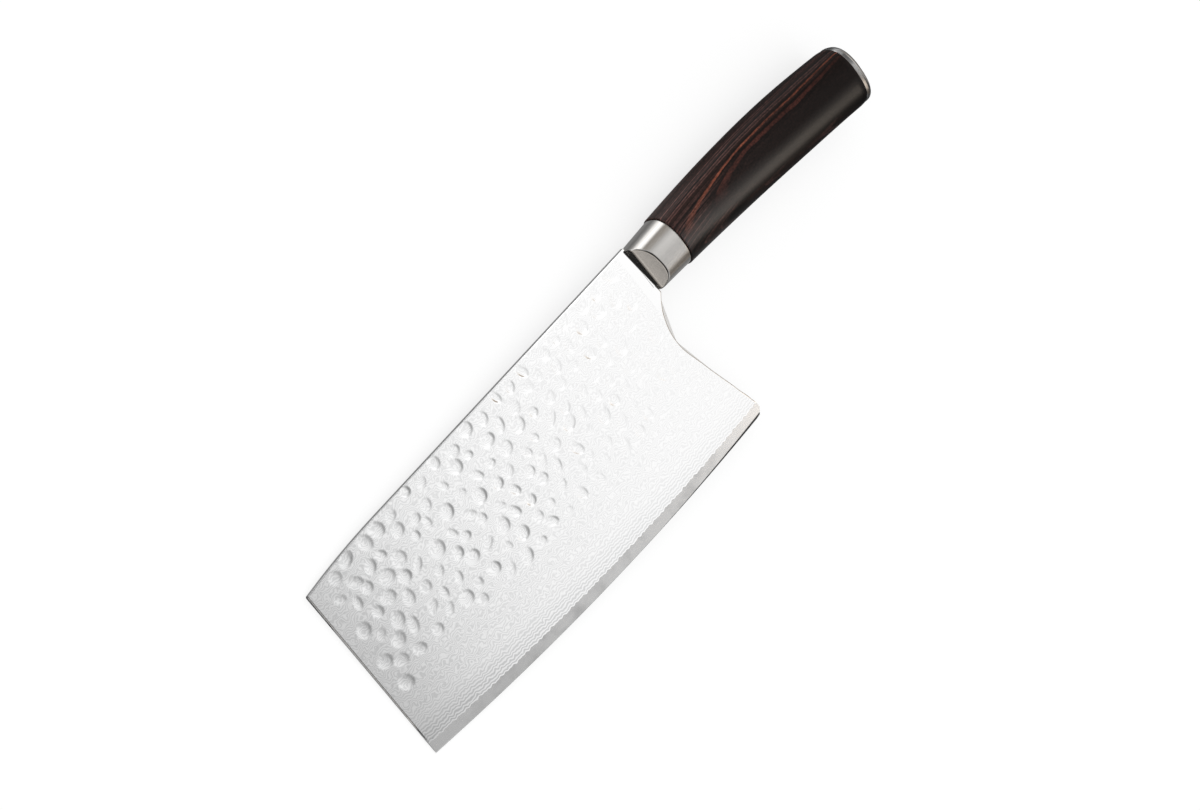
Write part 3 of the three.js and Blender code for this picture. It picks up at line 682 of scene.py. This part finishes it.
def hammered_tree():
    """Geometry nodes that press a bowl into a face at every mark."""
    tree = bpy.data.node_groups.new("Hammered face", "GeometryNodeTree")
    sockets = {}
    for name, kind in (("Geometry", "Geometry"), ("Marks", "Object"), ("Outward", "Vector"),
                       ("Reach", "Float"), ("Dish", "Float"), ("Skew", "Float"), ("Finish", "Material")):
        socket = tree.interface.new_socket(name, in_out="INPUT", socket_type="NodeSocket" + kind)
        sockets[name] = socket.identifier
    tree.interface.new_socket("Geometry", in_out="OUTPUT", socket_type="NodeSocketGeometry")
    given = add(tree, "NodeGroupInput")
    # A bowl of unit radius and depth whose rim is level with the face and whose floor lies to one side. Its
    # sheet passes the rim and rises there, clear of the face.
    across, lines = 2.8, 41
    sheet = add(tree, "GeometryNodeMeshGrid", {
        "Size X": across, "Size Y": across, "Vertices X": lines, "Vertices Y": lines})[0]
    here = add(tree, "GeometryNodeInputPosition")[0]
    square = add(tree, "VectorMath", {0: here, 1: here}, operation="DOT_PRODUCT")["Value"]
    dish = add(tree, "Math", {0: square, 1: given["Dish"]}, operation="POWER")[0]
    sunk = add(tree, "Math", {0: dish, 1: 1.0}, operation="SUBTRACT")[0]
    within = add(tree, "Math", {0: 1.0, 1: square}, operation="SUBTRACT")[0]
    aside = add(tree, "Math", {0: within, 1: given["Skew"]}, operation="MULTIPLY")[0]
    down = add(tree, "CombineXYZ", {0: aside, 2: sunk})[0]
    bowl = add(tree, "GeometryNodeSetPosition", {"Geometry": sheet, "Offset": down})[0]
    marks = add(tree, "GeometryNodeObjectInfo", {"Object": given["Marks"]})["Geometry"]
    turn = add(tree, "GeometryNodeInputNamedAttribute", {"Name": "turn"}, data_type="QUATERNION")[0]
    size = add(tree, "GeometryNodeInputNamedAttribute", {"Name": "size"}, data_type="FLOAT_VECTOR")[0]
    bowls = add(tree, "GeometryNodeInstanceOnPoints", {
        "Points": marks, "Instance": bowl, "Rotation": turn, "Scale": size})[0]
    solid = add(tree, "GeometryNodeRealizeInstances", {"Geometry": bowls})[0]
    # From inside the cladding, the first bowl on the way out is the deepest.
    back = add(tree, "VectorMath", {0: given["Outward"], "Scale": given["Reach"]}, operation="SCALE")[0]
    inside = add(tree, "VectorMath", {0: here, 1: back}, operation="SUBTRACT")[0]
    ray = add(tree, "GeometryNodeRaycast", {
        "Target Geometry": solid, "Source Position": inside,
        "Ray Direction": given["Outward"], "Ray Length": given["Reach"]})
    face = add(tree, "GeometryNodeInputNamedAttribute", {"Name": "face"}, data_type="BOOLEAN")[0]
    struck = add(tree, "FunctionNodeBooleanMath", {0: ray["Is Hit"], 1: face}, operation="AND")[0]
    sink = add(tree, "Math", {0: given["Reach"], 1: ray["Hit Distance"]}, operation="SUBTRACT")[0]
    dent = add(tree, "Math", {0: sink, 1: MM}, operation="MULTIPLY")[0]
    marked = add(tree, "GeometryNodeStoreNamedAttribute", {
        "Geometry": given["Geometry"], "Selection": struck, "Name": "dent_mm", "Value": dent})[0]
    pressed = add(tree, "GeometryNodeSetPosition", {
        "Geometry": marked, "Selection": struck, "Position": ray["Hit Position"]})[0]
    real = add(tree, "GeometryNodeRealizeInstances", {"Geometry": pressed})[0]
    done = add(tree, "GeometryNodeSetMaterial", {"Geometry": real, "Material": given["Finish"]})[0]
    add(tree, "NodeGroupOutput", {"Geometry": done})
    return tree, sockets


class CLEAVER_OT_claddings(bpy.types.Operator):
    """Builds the two etched and hammered claddings"""

    bl_idname = "cleaver.claddings"
    bl_label = "Claddings"

    def execute(self, context):
        scene = context.scene
        blade, marks, grip = scene.cleaver_blade, scene.cleaver_marks, scene.cleaver_grip
        material = etched_cladding(scene.cleaver_finish)
        tree, sockets = hammered_tree()
        reach, fewest, crease = 0.0004, 20, 35
        for name, side in (("left", 1), ("right", -1)):
            piece = self.plain_cladding(name, side, blade, grip, material)
            points = hammer_marks(blade, marks, side)
            if len(points.data.vertices) < fewest:
                raise RuntimeError("the blade is too small for its hammer marks")
            outward = KNIFE.to_3x3() @ Vector((0, 0, side))
            nodes = piece.modifiers.new("Hammered face", "NODES")
            nodes.node_group = tree
            for socket, value in (("Marks", points), ("Outward", outward), ("Reach", reach),
                                  ("Dish", marks.dish), ("Skew", marks.skew), ("Finish", material)):
                nodes[sockets[socket]] = value
            flatten(piece, crease)
            bpy.data.objects.remove(points)
            dress(piece, "cladding_" + name)
        return {"FINISHED"}

    def plain_cladding(self, name, side, blade, grip, material):
        """The cladding before it is hammered."""
        inside, outside = blade.core_thick / 2 + blade.bond, blade.spine_thick / 2
        # Rows and columns lie close along the broken edges and over the marks.
        fine = np.array((0, 0.25, 0.6, 1.0)) * blade.edge_break
        marked_to, marked_rows, plain_from, plain_rows, middle_columns = 0.73, 150, 0.738, 36, 430
        marked = np.linspace(2 * blade.edge_break / blade.deep, marked_to, marked_rows)
        shares = np.concatenate([fine / blade.deep, marked, np.linspace(plain_from, 1, plain_rows)])
        ends = fine / blade.long
        middle = np.linspace(2 * ends[-1], 1 - 2 * ends[-1], middle_columns)
        across = np.concatenate([ends, middle, 1 - ends[::-1]])
        rows, columns = len(shares), len(across)
        # The lower line wanders where the grinding met the wavy bond: pitch in millimetres, share and start.
        waves = ((13.1, 0.2, 0.4), (3.4, 0.35, 2.0 + side), (2.2, 0.35, 1.1), (5.3, 0.2, 0.7))
        wander = lambda x: blade.core_wave * sum(
            part * np.sin(2 * math.pi * x * MM / pitch + start) for pitch, part, start in waves)
        lower = lambda x: edge_height(blade, x) + blade.core_bare + wander(x)
        sides = blade_sides(blade, grip)
        flat = spread_rows(sides, lower, shares, across)
        x, y = flat[..., 0], flat[..., 1]
        below = spine_height(sides, x) - y
        edge = edge_height(blade, x)
        # The ground band runs out just below the waves and keeps a thin lip.
        past_waves, lip = 1.15, 0.00002
        foot = edge + blade.core_bare - past_waves * blade.core_wave
        top = edge + blade.ground_band
        ramp = inside + (face_height(blade, x, top) - inside) * (y - foot) / (top - foot)
        border = np.minimum(np.minimum(x - x[:, :1], x[:, -1:] - x), below)
        short = blade.edge_break - np.minimum(border, blade.edge_break)
        z = np.minimum(face_height(blade, x, y), ramp)
        z = np.maximum(z - blade.edge_break + np.sqrt(blade.edge_break ** 2 - short ** 2), inside + lip)
        front = np.stack([x, y, side * z], -1).reshape(-1, 3)
        rim = rim_of(rows, columns)
        count = len(front)
        back = front[rim] * (1, 1, 0) + (0, 0, side * inside)
        behind = list(range(count, count + len(rim)))
        walls = [(rim[i], rim[i - 1], behind[i - 1], behind[i]) for i in range(len(rim))]
        points = np.vstack([front, back, neck_points(blade, grip, *sorted((side * inside, side * outside)))])
        faces = grid_faces(rows, columns) + walls + [tuple(behind)] + box_faces(count + len(rim))
        piece = make_piece("cladding_" + name + "_etched", points, faces, material)
        # Each point's height above the lower line, and whether the hammer reaches it.
        level = (y - lower(x)).ravel()
        neck_level = np.full(BOX_CORNERS, 0.05)
        inner = np.zeros((rows, columns), bool)
        inner[1:-1, 1:-1] = True
        hidden = np.zeros(len(rim) + BOX_CORNERS, bool)
        note(piece.data, "layer_mm", "FLOAT", np.concatenate([level, level[rim], neck_level]) * MM)
        note(piece.data, "dent_mm", "FLOAT", np.zeros(len(points)))
        note(piece.data, "face", "BOOLEAN", np.concatenate([inner.ravel(), hidden]))
        return piece


class CLEAVER_OT_core(bpy.types.Operator):
    """Builds the ground core with its bare edge"""

    bl_idname = "cleaver.core"
    bl_label = "Core"

    def execute(self, context):
        blade, grip = context.scene.cleaver_blade, context.scene.cleaver_grip
        across = np.linspace(0, 1, 240)
        columns = len(across)
        sides = blade_sides(blade, grip)
        half = blade.core_thick / 2
        # Heights above the edge and half thicknesses from the flat core down to the honed edge, which is a
        # sixth as thick as the solid's.
        steps = ((blade.core_bare, half), (blade.core_bare * 0.5, half * 0.64), (blade.honed, half * 0.28),
                 (0, blade.edge_flat / 2 / 6))
        above_edge = lambda above: lambda x: edge_height(blade, x) + above
        lines = [(blade.core_bare, share, half) for share in (0, 0.25, 0.5, 0.75)]
        lines += [(above, 1, thick) for above, thick in steps]
        flat = np.array([
            spread_rows(sides, above_edge(above), [share], across)[0] for above, share, _ in lines])
        rows = len(lines)
        z = np.repeat(np.array([thick for _, _, thick in lines])[:, None], columns, 1)
        left = np.concatenate([flat, z[..., None]], -1).reshape(-1, 3)
        right = left * (1, 1, -1)
        rim = rim_of(rows, columns)
        count = len(left)
        walls = [(rim[i], rim[i - 1], rim[i - 1] + count, rim[i] + count) for i in range(len(rim))]
        points = np.vstack([left, right, neck_points(blade, grip, -half, half)])
        faces = grid_faces(rows, columns) + [face[::-1] for face in grid_faces(rows, columns, count)]
        faces += walls + box_faces(2 * count)
        material = ground_core(context.scene.cleaver_finish)
        piece = make_piece("blade_core_ground", points, faces, material, crease=3)
        height = np.tile((flat[..., 1] - edge_height(blade, flat[..., 0])).ravel(), 2)
        note(piece.data, "edge_mm", "FLOAT", np.concatenate([height, np.full(BOX_CORNERS, blade.deep)]) * MM)
        dress(piece, "blade_core")
        return {"FINISHED"}


def cap_end(grip):
    """Distance of the cap's flat end from the bolster face."""
    return grip.bolster_long + 2 * grip.wood_gap + grip.wood_long + grip.cap_thick


def oval_rings(grip, stations, sides=144):
    """Superellipse rings round the grip's axis; a station is x, height, width and exponent."""
    turn = np.linspace(0, 2 * math.pi, sides, endpoint=False)
    rings = []
    for x, high, wide, power in stations:
        bow = lambda value: np.sign(value) * np.abs(value) ** (2 / power)
        run = (max(x, 0) / cap_end(grip)) ** grip.axis_curl
        rise = high / 2 * bow(np.cos(turn))
        rings.append(np.stack([
            x + math.tan(grip.butt_rake) * run * rise,
            -grip.axis_drop - grip.axis_fall * run + rise,
            wide / 2 * bow(np.sin(turn))], 1))
    return rings


def loft(rings):
    """Points and faces of a closed skin over rings of equal count."""
    sides = len(rings[0])
    faces = []
    for ring in range(len(rings) - 1):
        for side in range(sides):
            near, beside = ring * sides + side, ring * sides + (side + 1) % sides
            faces.append((near, beside, beside + sides, near + sides))
    last = (len(rings) - 1) * sides
    faces += [tuple(range(sides))[::-1], tuple(range(last, last + sides))]
    return np.vstack(rings), faces


class CLEAVER_OT_bolster(bpy.types.Operator):
    """Builds the faceted bolster"""

    bl_idname = "cleaver.bolster"
    bl_label = "Bolster"

    def execute(self, context):
        grip = context.scene.cleaver_grip
        centre = np.array((grip.bolster_long / 2, -grip.axis_drop, 0))
        # Rays from the middle meet the rounded skin once each, and halving finds where.
        off_axis, rings, spokes, halvings = 0.1, 236, 400, 34
        lean = np.linspace(off_axis, math.pi - off_axis, rings)[:, None]
        turn = np.linspace(0, 2 * math.pi, spokes, endpoint=False)[None, :]
        ways = np.stack(np.broadcast_arrays(
            -np.cos(lean), np.sin(lean) * np.cos(turn), np.sin(lean) * np.sin(turn)), -1)
        near, far = np.zeros(ways.shape[:2]), np.full(ways.shape[:2], grip.bolster_long * 2)
        for _ in range(halvings):
            middle = (near + far) / 2
            outside = self.outside(grip, centre + ways * middle[..., None]) > 0
            far, near = np.where(outside, middle, far), np.where(outside, near, middle)
        points, faces = loft(list(centre + ways * near[..., None]))
        material = brushed_stainless("brushed_stainless", context.scene.cleaver_finish.bolster)
        piece = make_piece("bolster_brushed", points, faces, material, crease=60)
        dress(piece, "bolster")
        return {"FINISHED"}

    def outside(self, grip, points):
        """Distance of points outside an oval barrel, cut by nose, facets and back, with rounded edges."""
        x, y, z = points[..., 0], points[..., 1], points[..., 2]
        ahead_of_nose = -0.1
        along = np.clip(x / grip.bolster_long, ahead_of_nose, 1)
        high, wide, power = [front + (back - front) * along for front, back in (
            (grip.nose_high, grip.joint_high), (grip.nose_wide, grip.joint_wide),
            (grip.nose_power, grip.power))]
        drop = grip.axis_drop + grip.axis_fall * (np.maximum(x, 0) / cap_end(grip)) ** grip.axis_curl
        reach = ((np.abs(y + drop) / (high / 2)) ** power + (np.abs(z) / (wide / 2)) ** power) ** (1 / power)
        result = (reach - 1) * wide / 2
        rake = Matrix.Rotation(grip.nose_rake, 3, "Z")
        axis = Vector((0, -grip.axis_drop, 0))
        cuts = [(Vector((0, 0, 0)), rake @ Vector((-1, 0, 0)))]
        for side in (1, -1):
            twist = Matrix.Rotation(-side * grip.facet_twist, 3, "X")
            corner = rake @ (axis + twist @ Vector((0, 0, side * grip.nose_flat / 2)))
            away = Vector((-math.sin(grip.facet_lean), 0, side * math.cos(grip.facet_lean)))
            cuts.append((corner, rake @ twist @ away))
        cuts.append((Vector((grip.bolster_long, 0, 0)), Vector((1, 0, 0))))
        soft = grip.nose_edge
        for corner, normal in cuts:
            plane = (points - np.array(corner)) @ np.array(normal)
            blend = np.maximum(soft - np.abs(result - plane), 0) ** 2 / (4 * soft)
            result = np.maximum(result, plane) + blend
        return result


def grip_sizes(grip, along):
    """Height and width of the wood at a share of its length, on a smooth curve through four stations."""
    highs = (grip.high_front, grip.high_palm, grip.high_swell, grip.high_butt)
    wides = (grip.wide_front, grip.wide_palm, grip.wide_swell, grip.wide_butt)
    return [catmull(values, along) for values in (highs, wides)]


def catmull(values, along):
    """A Catmull-Rom curve through evenly spaced values."""
    spot = min(along * (len(values) - 1), len(values) - 1.000001)
    at = int(spot)
    t = spot - at
    before = values[at - 1] if at else 2 * values[0] - values[1]
    after = values[at + 2] if at + 2 < len(values) else 2 * values[-1] - values[-2]
    a, b = values[at], values[at + 1]
    bend = 2 * before - 5 * a + 4 * b - after + t * (3 * (a - b) + after - before)
    return a + 0.5 * t * (b - before + t * bend)


class CLEAVER_OT_grip(bpy.types.Operator):
    """Builds the wooden grip"""

    bl_idname = "cleaver.grip"
    bl_label = "Grip"

    def execute(self, context):
        grip = context.scene.cleaver_grip
        front = grip.bolster_long + grip.wood_gap
        stations = []
        soft = grip.front_round
        # Rings lie close where the ends are rounded.
        front_rings, middle_rings, end_rings, clear_front, clear_end = 6, 110, 14, 0.0015, 0.0032
        places = [*(soft * (1 - np.cos(np.linspace(0, math.pi / 2, front_rings)))),
                  *np.linspace(clear_front, grip.wood_long - clear_end, middle_rings),
                  *(grip.wood_long - grip.end_round_long * (1 - np.linspace(0, 1, end_rings)))]
        for along in places:
            high, wide = grip_sizes(grip, along / grip.wood_long)
            drawn = 2 * soft * (1 - math.sqrt(max(0, 1 - max(0, 1 - along / soft) ** 2)))
            end = max(0, 1 - (grip.wood_long - along) / grip.end_round_long)
            drawn += 2 * grip.end_round * end ** 2
            stations.append((front + along, high - drawn, wide - drawn, grip.power))
        rings = oval_rings(grip, stations)
        points, faces = loft(rings)
        material = pressed_veneers(context.scene.cleaver_finish)
        piece = make_piece("grip_veneers", points, faces, material, crease=50)
        turn = np.linspace(0, 2 * math.pi, len(rings[0]), endpoint=False)
        note(piece.data, "spine_side", "FLOAT", np.tile(np.cos(turn), len(rings)))
        dress(piece, "grip")
        return {"FINISHED"}


class CLEAVER_OT_end_cap(bpy.types.Operator):
    """Builds the steel end cap with its spigot"""

    bl_idname = "cleaver.end_cap"
    bl_label = "End cap"

    def execute(self, context):
        grip = context.scene.cleaver_grip
        end = cap_end(grip)
        front = end - grip.cap_thick
        bevel, chamfer, sunk, rim_rings, sides = 0.0001, 0.0004, 0.0005, 18, 48
        high, wide = grip.high_butt - 2 * grip.end_round, grip.wide_butt - 2 * grip.end_round
        drawn = [(front, 2 * bevel), (front + bevel, 0)]
        for turn in np.linspace(0, math.pi / 2, rim_rings):
            inset = 2 * grip.cap_inset * (1 - math.cos(turn))
            drawn.append((end - grip.cap_rim * (1 - math.sin(turn)), inset))
        stations = [(x, high - inset, wide - inset, grip.power) for x, inset in drawn]
        points, faces = loft(oval_rings(grip, stations))
        # The spigot plugs the bore and starts inside the plate.
        middle = oval_rings(grip, [(front, 2 * bevel, 2 * bevel, 2)])[0].mean(0)[1]
        turn = np.linspace(0, 2 * math.pi, sides, endpoint=False)
        tip, radius = front - grip.spigot_long, grip.spigot_wide / 2
        more_points, more_faces = loft([
            np.stack([np.full(sides, x), middle + size * np.cos(turn), size * np.sin(turn)], 1)
            for x, size in ((tip, radius - chamfer), (tip + chamfer, radius), (front + sunk, radius))])
        faces += [tuple(at + len(points) for at in face) for face in more_faces]
        material = brushed_stainless("brushed_stainless_cap", context.scene.cleaver_finish.cap)
        piece = make_piece("end_cap_brushed", np.vstack([points, more_points]), faces, material, crease=40)
        dress(piece, "end_cap")
        return {"FINISHED"}


class CLEAVER_OT_inner_parts(bpy.types.Operator):
    """Gives the tang, its welds and the resin their finishes"""

    bl_idname = "cleaver.inner_parts"
    bl_label = "Inner parts"

    def execute(self, context):
        mill = rough_steel("mill_finish_steel", "#8e8c88", "#6a6763", size=1.4, roughness=0.5, relief=0.00003)
        bead = rough_steel("weld_metal", "#857f78", "#5b544d", size=0.7, roughness=0.55, relief=0.00008)
        finishes = {"tang": mill, "tang_weld_left": bead, "tang_weld_right": bead, "epoxy_bed": cast_epoxy()}
        for node, material in finishes.items():
            for slot in frame["nodes"][node].material_slots:
                slot.material = material
        return {"FINISHED"}


class CLEAVER_OT_stage(bpy.types.Operator):
    """Sets the floor, the light and the camera"""

    bl_idname = "cleaver.stage"
    bl_label = "Stage"

    def execute(self, context):
        self.floor(context.scene.cleaver_finish)
        self.world()
        self.tent()
        self.floor_card()
        self.lamp("soft_key", place=(0.3, -0.4, 1.2), size=1.2, watts=2.6)
        self.lamp("soft_fill", place=(-0.3, 0.5, 1.2), size=1.4, watts=2.6)
        self.camera(context)
        context.scene.view_settings.view_transform = "Standard"
        return {"FINISHED"}

    def seen(self, tree):
        """One for what the camera sees, also in metal or through glass, nought for light on the object."""
        path = add(tree, "LightPath")
        seen = path["Is Camera Ray"]
        for way in ("Is Glossy Ray", "Is Transmission Ray"):
            seen = add(tree, "Math", {0: seen, 1: path[way]}, operation="MAXIMUM")[0]
        return seen

    def floor(self, finish):
        """A plain pale floor with a light shadow."""
        # What the camera sees is mostly plain white, which leaves the shadow light.
        size, plain = 4.0, 0.72
        corners = [(-size, -size, 0), (size, -size, 0), (size, size, 0), (-size, size, 0)]
        mesh = new_mesh("floor", corners, [(0, 1, 2, 3)])
        material, tree = new_material("matt_pale_floor")
        matt = add(tree, "BsdfDiffuse", {"Color": finish.floor})[0]
        white = add(tree, "Emission")[0]
        share = add(tree, "Math", {0: self.seen(tree), 1: plain}, operation="MULTIPLY")[0]
        both = add(tree, "MixShader", {0: share, 1: matt, 2: white})[0]
        add(tree, "OutputMaterial", {"Surface": both})
        mesh.materials.append(material)
        floor = set_down("floor", mesh)

    def world(self):
        """White surroundings, a little dimmer as light on the object than as background."""
        world = bpy.data.worlds.new("white_studio")
        bpy.context.scene.world = world
        world.use_nodes = True
        tree = world.node_tree
        tree.nodes.clear()
        level = add(tree, "MapRange", {0: self.seen(tree), 3: 0.91, 4: 1.0})[0]
        light = add(tree, "Background", {"Color": (1, 1, 1, 1), "Strength": level})[0]
        add(tree, "OutputWorld", {"Surface": light})

    def graded(self, tree, value, stops, warm=0, least=0):
        """Brightness along a value, from stops of both; warm tints the dim ones brown, least all of them."""
        low, high = stops[0][0], stops[-1][0]
        ramp = []
        for at, level in stops:
            brown = max(least, warm * max(0, 1 - level))
            ramp.append(((at - low) / (high - low), (level, level * (1 - brown / 2), level * (1 - brown), 1)))
        share = add(tree, "MapRange", {0: value, 1: low, 2: high})[0]
        return add(tree, "ValToRGB", {"Fac": share}, stops=ramp)[0]

    def card(self, name, points, faces, material, light):
        """A surface of the studio that glows with this light and shows only in reflections."""
        tree = material.node_tree
        add(tree, "OutputMaterial", {"Surface": add(tree, "Emission", {"Color": light})[0]})
        mesh = new_mesh(name, points, faces)
        mesh.materials.append(material)
        card = set_down(name, mesh)
        card.visible_camera = card.visible_diffuse = card.visible_shadow = False
        card.visible_transmission = card.visible_volume_scatter = False

    def tent(self):
        """A graded light tent over the knife with a panel at each end, as set round steel in a studio."""
        steps, degrees = 64, 95
        turn = np.radians(np.linspace(-degrees, degrees, steps))
        ring = lambda x: placed([(x, TENT_RADIUS * math.sin(t), TENT_RADIUS * math.cos(t)) for t in turn])
        material, tree = new_material("graded_light_tent")
        axes = add(tree, "SeparateXYZ", {0: knife_coordinates(tree)})
        lean = add(tree, "Math", {0: axes[1], 1: axes[2]}, operation="ARCTAN2")[0]
        around = lambda part, *tint: self.graded(
            tree, lean, [(math.radians(at), level) for at, level in part], *tint)
        # Brightness round the knife, in degrees towards the spine: over blade, bolster, grip and cap.
        blade_part = [(-88, 1.0), (-15, 1.0), (-8, 0.8), (0, 0.55), (12, 0.5), (24, 0.8), (88, 0.8)]
        bolster_part = [
            (-88, 0.37), (-81, 0.27), (-74, 0.19), (-64, 0.27), (-55, 0.6), (-49, 0.87), (-42, 1.0),
            (-20, 1.0), (-14, 1.2), (-7, 1.4), (3, 1.6), (10, 1.5), (16, 1.33), (22, 1.07), (30, 0.83),
            (38, 0.67), (45, 0.6), (52, 0.53), (58, 0.5), (65, 0.95), (72, 2.5), (88, 3.2)]
        grip_part = [
            (-88, 0.1), (-72, 0.15), (-60, 0.8), (-48, 1.5), (-38, 1.5), (-30, 0.8), (-22, 0.3),
            (-10, 0.15), (88, 0.15)]
        cap_part = [
            (-88, 0.1), (-52, 0.12), (-41, 0.2), (-31, 0.45), (-22, 1.0), (-6, 1.2), (0, 0.7), (9, 0.4),
            (46, 0.3), (58, 0.95), (88, 1.1)]
        # Each part starts and is full so many millimetres behind the bolster face, and has its tint.
        lit = around(blade_part)
        for part, start, full, *tint in ((bolster_part, 320, 390, 0.4), (grip_part, 500, 514, 0, 0.3),
                                         (cap_part, 680, 710)):
            share = add(tree, "MapRange", {0: axes[0], 1: start, 2: full})[0]
            lit = add(tree, "Mix", {0: share, 6: lit, 7: around(part, *tint)}, data_type="RGBA")[2]
        down_knife = self.graded(tree, axes[0], [
            (-500, 0.02), (-250, 0.05), (-100, 0.16), (30, 0.34), (100, 0.48), (140, 0.64), (180, 0.82),
            (213, 0.91), (244, 0.96), (278, 0.99), (330, 1.03), (400, 1.05), (500, 1.05), (514, 2.6),
            (550, 1.7), (585, 0.85), (620, 0.6), (675, 0.48), (700, 0.95), (800, 0.6), (1200, 0.35)])
        # The sides of the blade's part are bright, for whoever walks round the knife.
        sides = around([(-88, 0.75), (-62, 0.75), (-50, 0), (24, 0), (36, 0.75), (88, 0.75)])
        past_blade = self.graded(tree, axes[0], [
            (-900, 0), (-450, 0), (-300, 1), (260, 1), (330, 0), (900, 0)])
        lit, filled = [
            add(tree, "Mix", {0: 1.0, 6: first, 7: second}, data_type="RGBA", blend_type="MULTIPLY")[2]
            for first, second in ((lit, down_knife), (sides, past_blade))]
        lit = add(tree, "Mix", {0: 1.0, 6: lit, 7: filled}, data_type="RGBA", blend_type="LIGHTEN")[2]
        sheet = [(i, i + 1, i + steps + 1, i + steps) for i in range(steps - 1)]
        self.card("light_tent", np.vstack([ring(TENT_TIP), ring(TENT_BUTT)]), sheet, material, lit)
        # The end panels are a little warm and grow darker or brighter with height.
        warm, least = 0.3, 0.1
        for name, x, rising in (
                ("end_panel_tip", TENT_TIP, [(0, 1.22), (200, 1.22), (400, 0.6), (900, 0.3)]),
                ("end_panel_butt", TENT_BUTT, [(0, 0.35), (450, 0.35), (600, 1.1), (900, 1.3)])):
            material, tree = new_material(name)
            height = add(tree, "SeparateXYZ", {0: knife_coordinates(tree)})[2]
            light = self.graded(tree, height, rising, warm, least)
            self.card(name, ring(x), [tuple(range(steps))], material, light)

    def floor_card(self):
        """A graded card under the knife, seen only in the steel: grey along the spine as a painted reflection
        of shadow, bright beside it.
        """
        material, tree = new_material("graded_floor_card")
        axes = add(tree, "SeparateXYZ", {0: knife_coordinates(tree)})
        # The grey near the knife is painted shade: it stands for the floor's shadow as the steel would mirror
        # it.
        level = self.graded(tree, axes[1], [
            (-300, 0.28), (-100, 0.3), (-60, 0.36), (-25, 0.45), (-8, 0.35), (3, 0.35), (6, 0.25), (9, 0.34),
            (14, 0.5), (20, 0.72), (29, 1.1), (40, 1.7), (80, 2.2), (300, 2.2)])
        # Past a slanting line behind the bolster, where the wood sees it, and past the tip it is dim.
        slant = -0.52
        aside = add(tree, "Math", {0: axes[1]}, operation="ABSOLUTE")[0]
        back = add(tree, "Math", {0: aside, 1: slant, 2: axes[0]}, operation="MULTIPLY_ADD")[0]
        light = self.graded(tree, back, [(-400, 1.0), (20, 1.0), (50, 0.3), (400, 0.3)])
        before = self.graded(tree, axes[0], [(-300, 0.7), (-181, 0.7), (-177, 1.0), (400, 1.0)])
        for part in (before, level):
            light = add(tree, "Mix", {0: 1.0, 6: light, 7: part}, data_type="RGBA", blend_type="MULTIPLY")[2]
        origin, above_floor = KNIFE.translation, 0.0003
        points = [(origin.x + x, origin.y + side * TENT_RADIUS, above_floor)
                  for x, side in ((TENT_TIP, -1), (TENT_BUTT, -1), (TENT_BUTT, 1), (TENT_TIP, 1))]
        self.card("floor_card", points, [(0, 1, 2, 3)], material, light)

    def lamp(self, name, place, size, watts):
        """A square soft lamp aimed at the middle of the knife."""
        light = bpy.data.lights.new(name, "AREA")
        light.size, light.energy = size, watts
        lamp = set_down(name, light)
        lamp.location = place
        middle = Vector((0, 0, 0.01))
        lamp.rotation_euler = (Vector(place) - middle).to_track_quat("Z", "Y").to_euler()
        lamp.visible_glossy = False

    def camera(self, context):
        """A long lens above the tip, on the spine side."""
        lens = bpy.data.cameras.new("camera")
        lens.lens, lens.sensor_width, lens.sensor_fit = 102.04, 36, "HORIZONTAL"
        camera = set_down("camera", lens)
        place = (-0.564, 0.3358, 1.027805)
        aim = Vector((0.42822658, -0.30575583, -0.85037366)).normalized()
        right = Vector((0.61151935, -0.60379068, 0.51135203))
        right = (right - right.dot(aim) * aim).normalized()
        turn = Matrix((right, right.cross(aim), -aim)).transposed()
        camera.matrix_world = KNIFE @ Matrix.Translation(place) @ turn.to_4x4()
        context.scene.camera = camera


class CLEAVER_PT_panel(bpy.types.Panel):
    """Lists the steps that build the cleaver"""

    bl_idname = "CLEAVER_PT_panel"
    bl_label = "Cleaver"
    bl_space_type = "VIEW_3D"
    bl_region_type = "UI"
    bl_category = "Cleaver"

    def draw(self, context):
        for step in STEPS:
            self.layout.operator(step.bl_idname)


STEPS = (CLEAVER_OT_claddings, CLEAVER_OT_core, CLEAVER_OT_bolster, CLEAVER_OT_grip,
         CLEAVER_OT_end_cap, CLEAVER_OT_inner_parts, CLEAVER_OT_stage)
GROUPS = {"cleaver_blade": CleaverBlade, "cleaver_marks": CleaverMarks,
          "cleaver_grip": CleaverGrip, "cleaver_finish": CleaverFinish}


def register():
    """Registers the settings, steps and panel."""
    for group in (*GROUPS.values(), *STEPS, CLEAVER_PT_panel):
        bpy.utils.register_class(group)
    for name, group in GROUPS.items():
        setattr(bpy.types.Scene, name, PointerProperty(type=group))


def unregister():
    """Takes them out again."""
    for name in GROUPS:
        delattr(bpy.types.Scene, name)
    for group in reversed((*GROUPS.values(), *STEPS, CLEAVER_PT_panel)):
        bpy.utils.unregister_class(group)


def main():
    """Builds every piece and the stage."""
    register()
    bpy.ops.cleaver.claddings()
    bpy.ops.cleaver.core()
    bpy.ops.cleaver.bolster()
    bpy.ops.cleaver.grip()
    bpy.ops.cleaver.end_cap()
    bpy.ops.cleaver.inner_parts()
    bpy.ops.cleaver.stage()


if __name__ == "__main__":
    main()
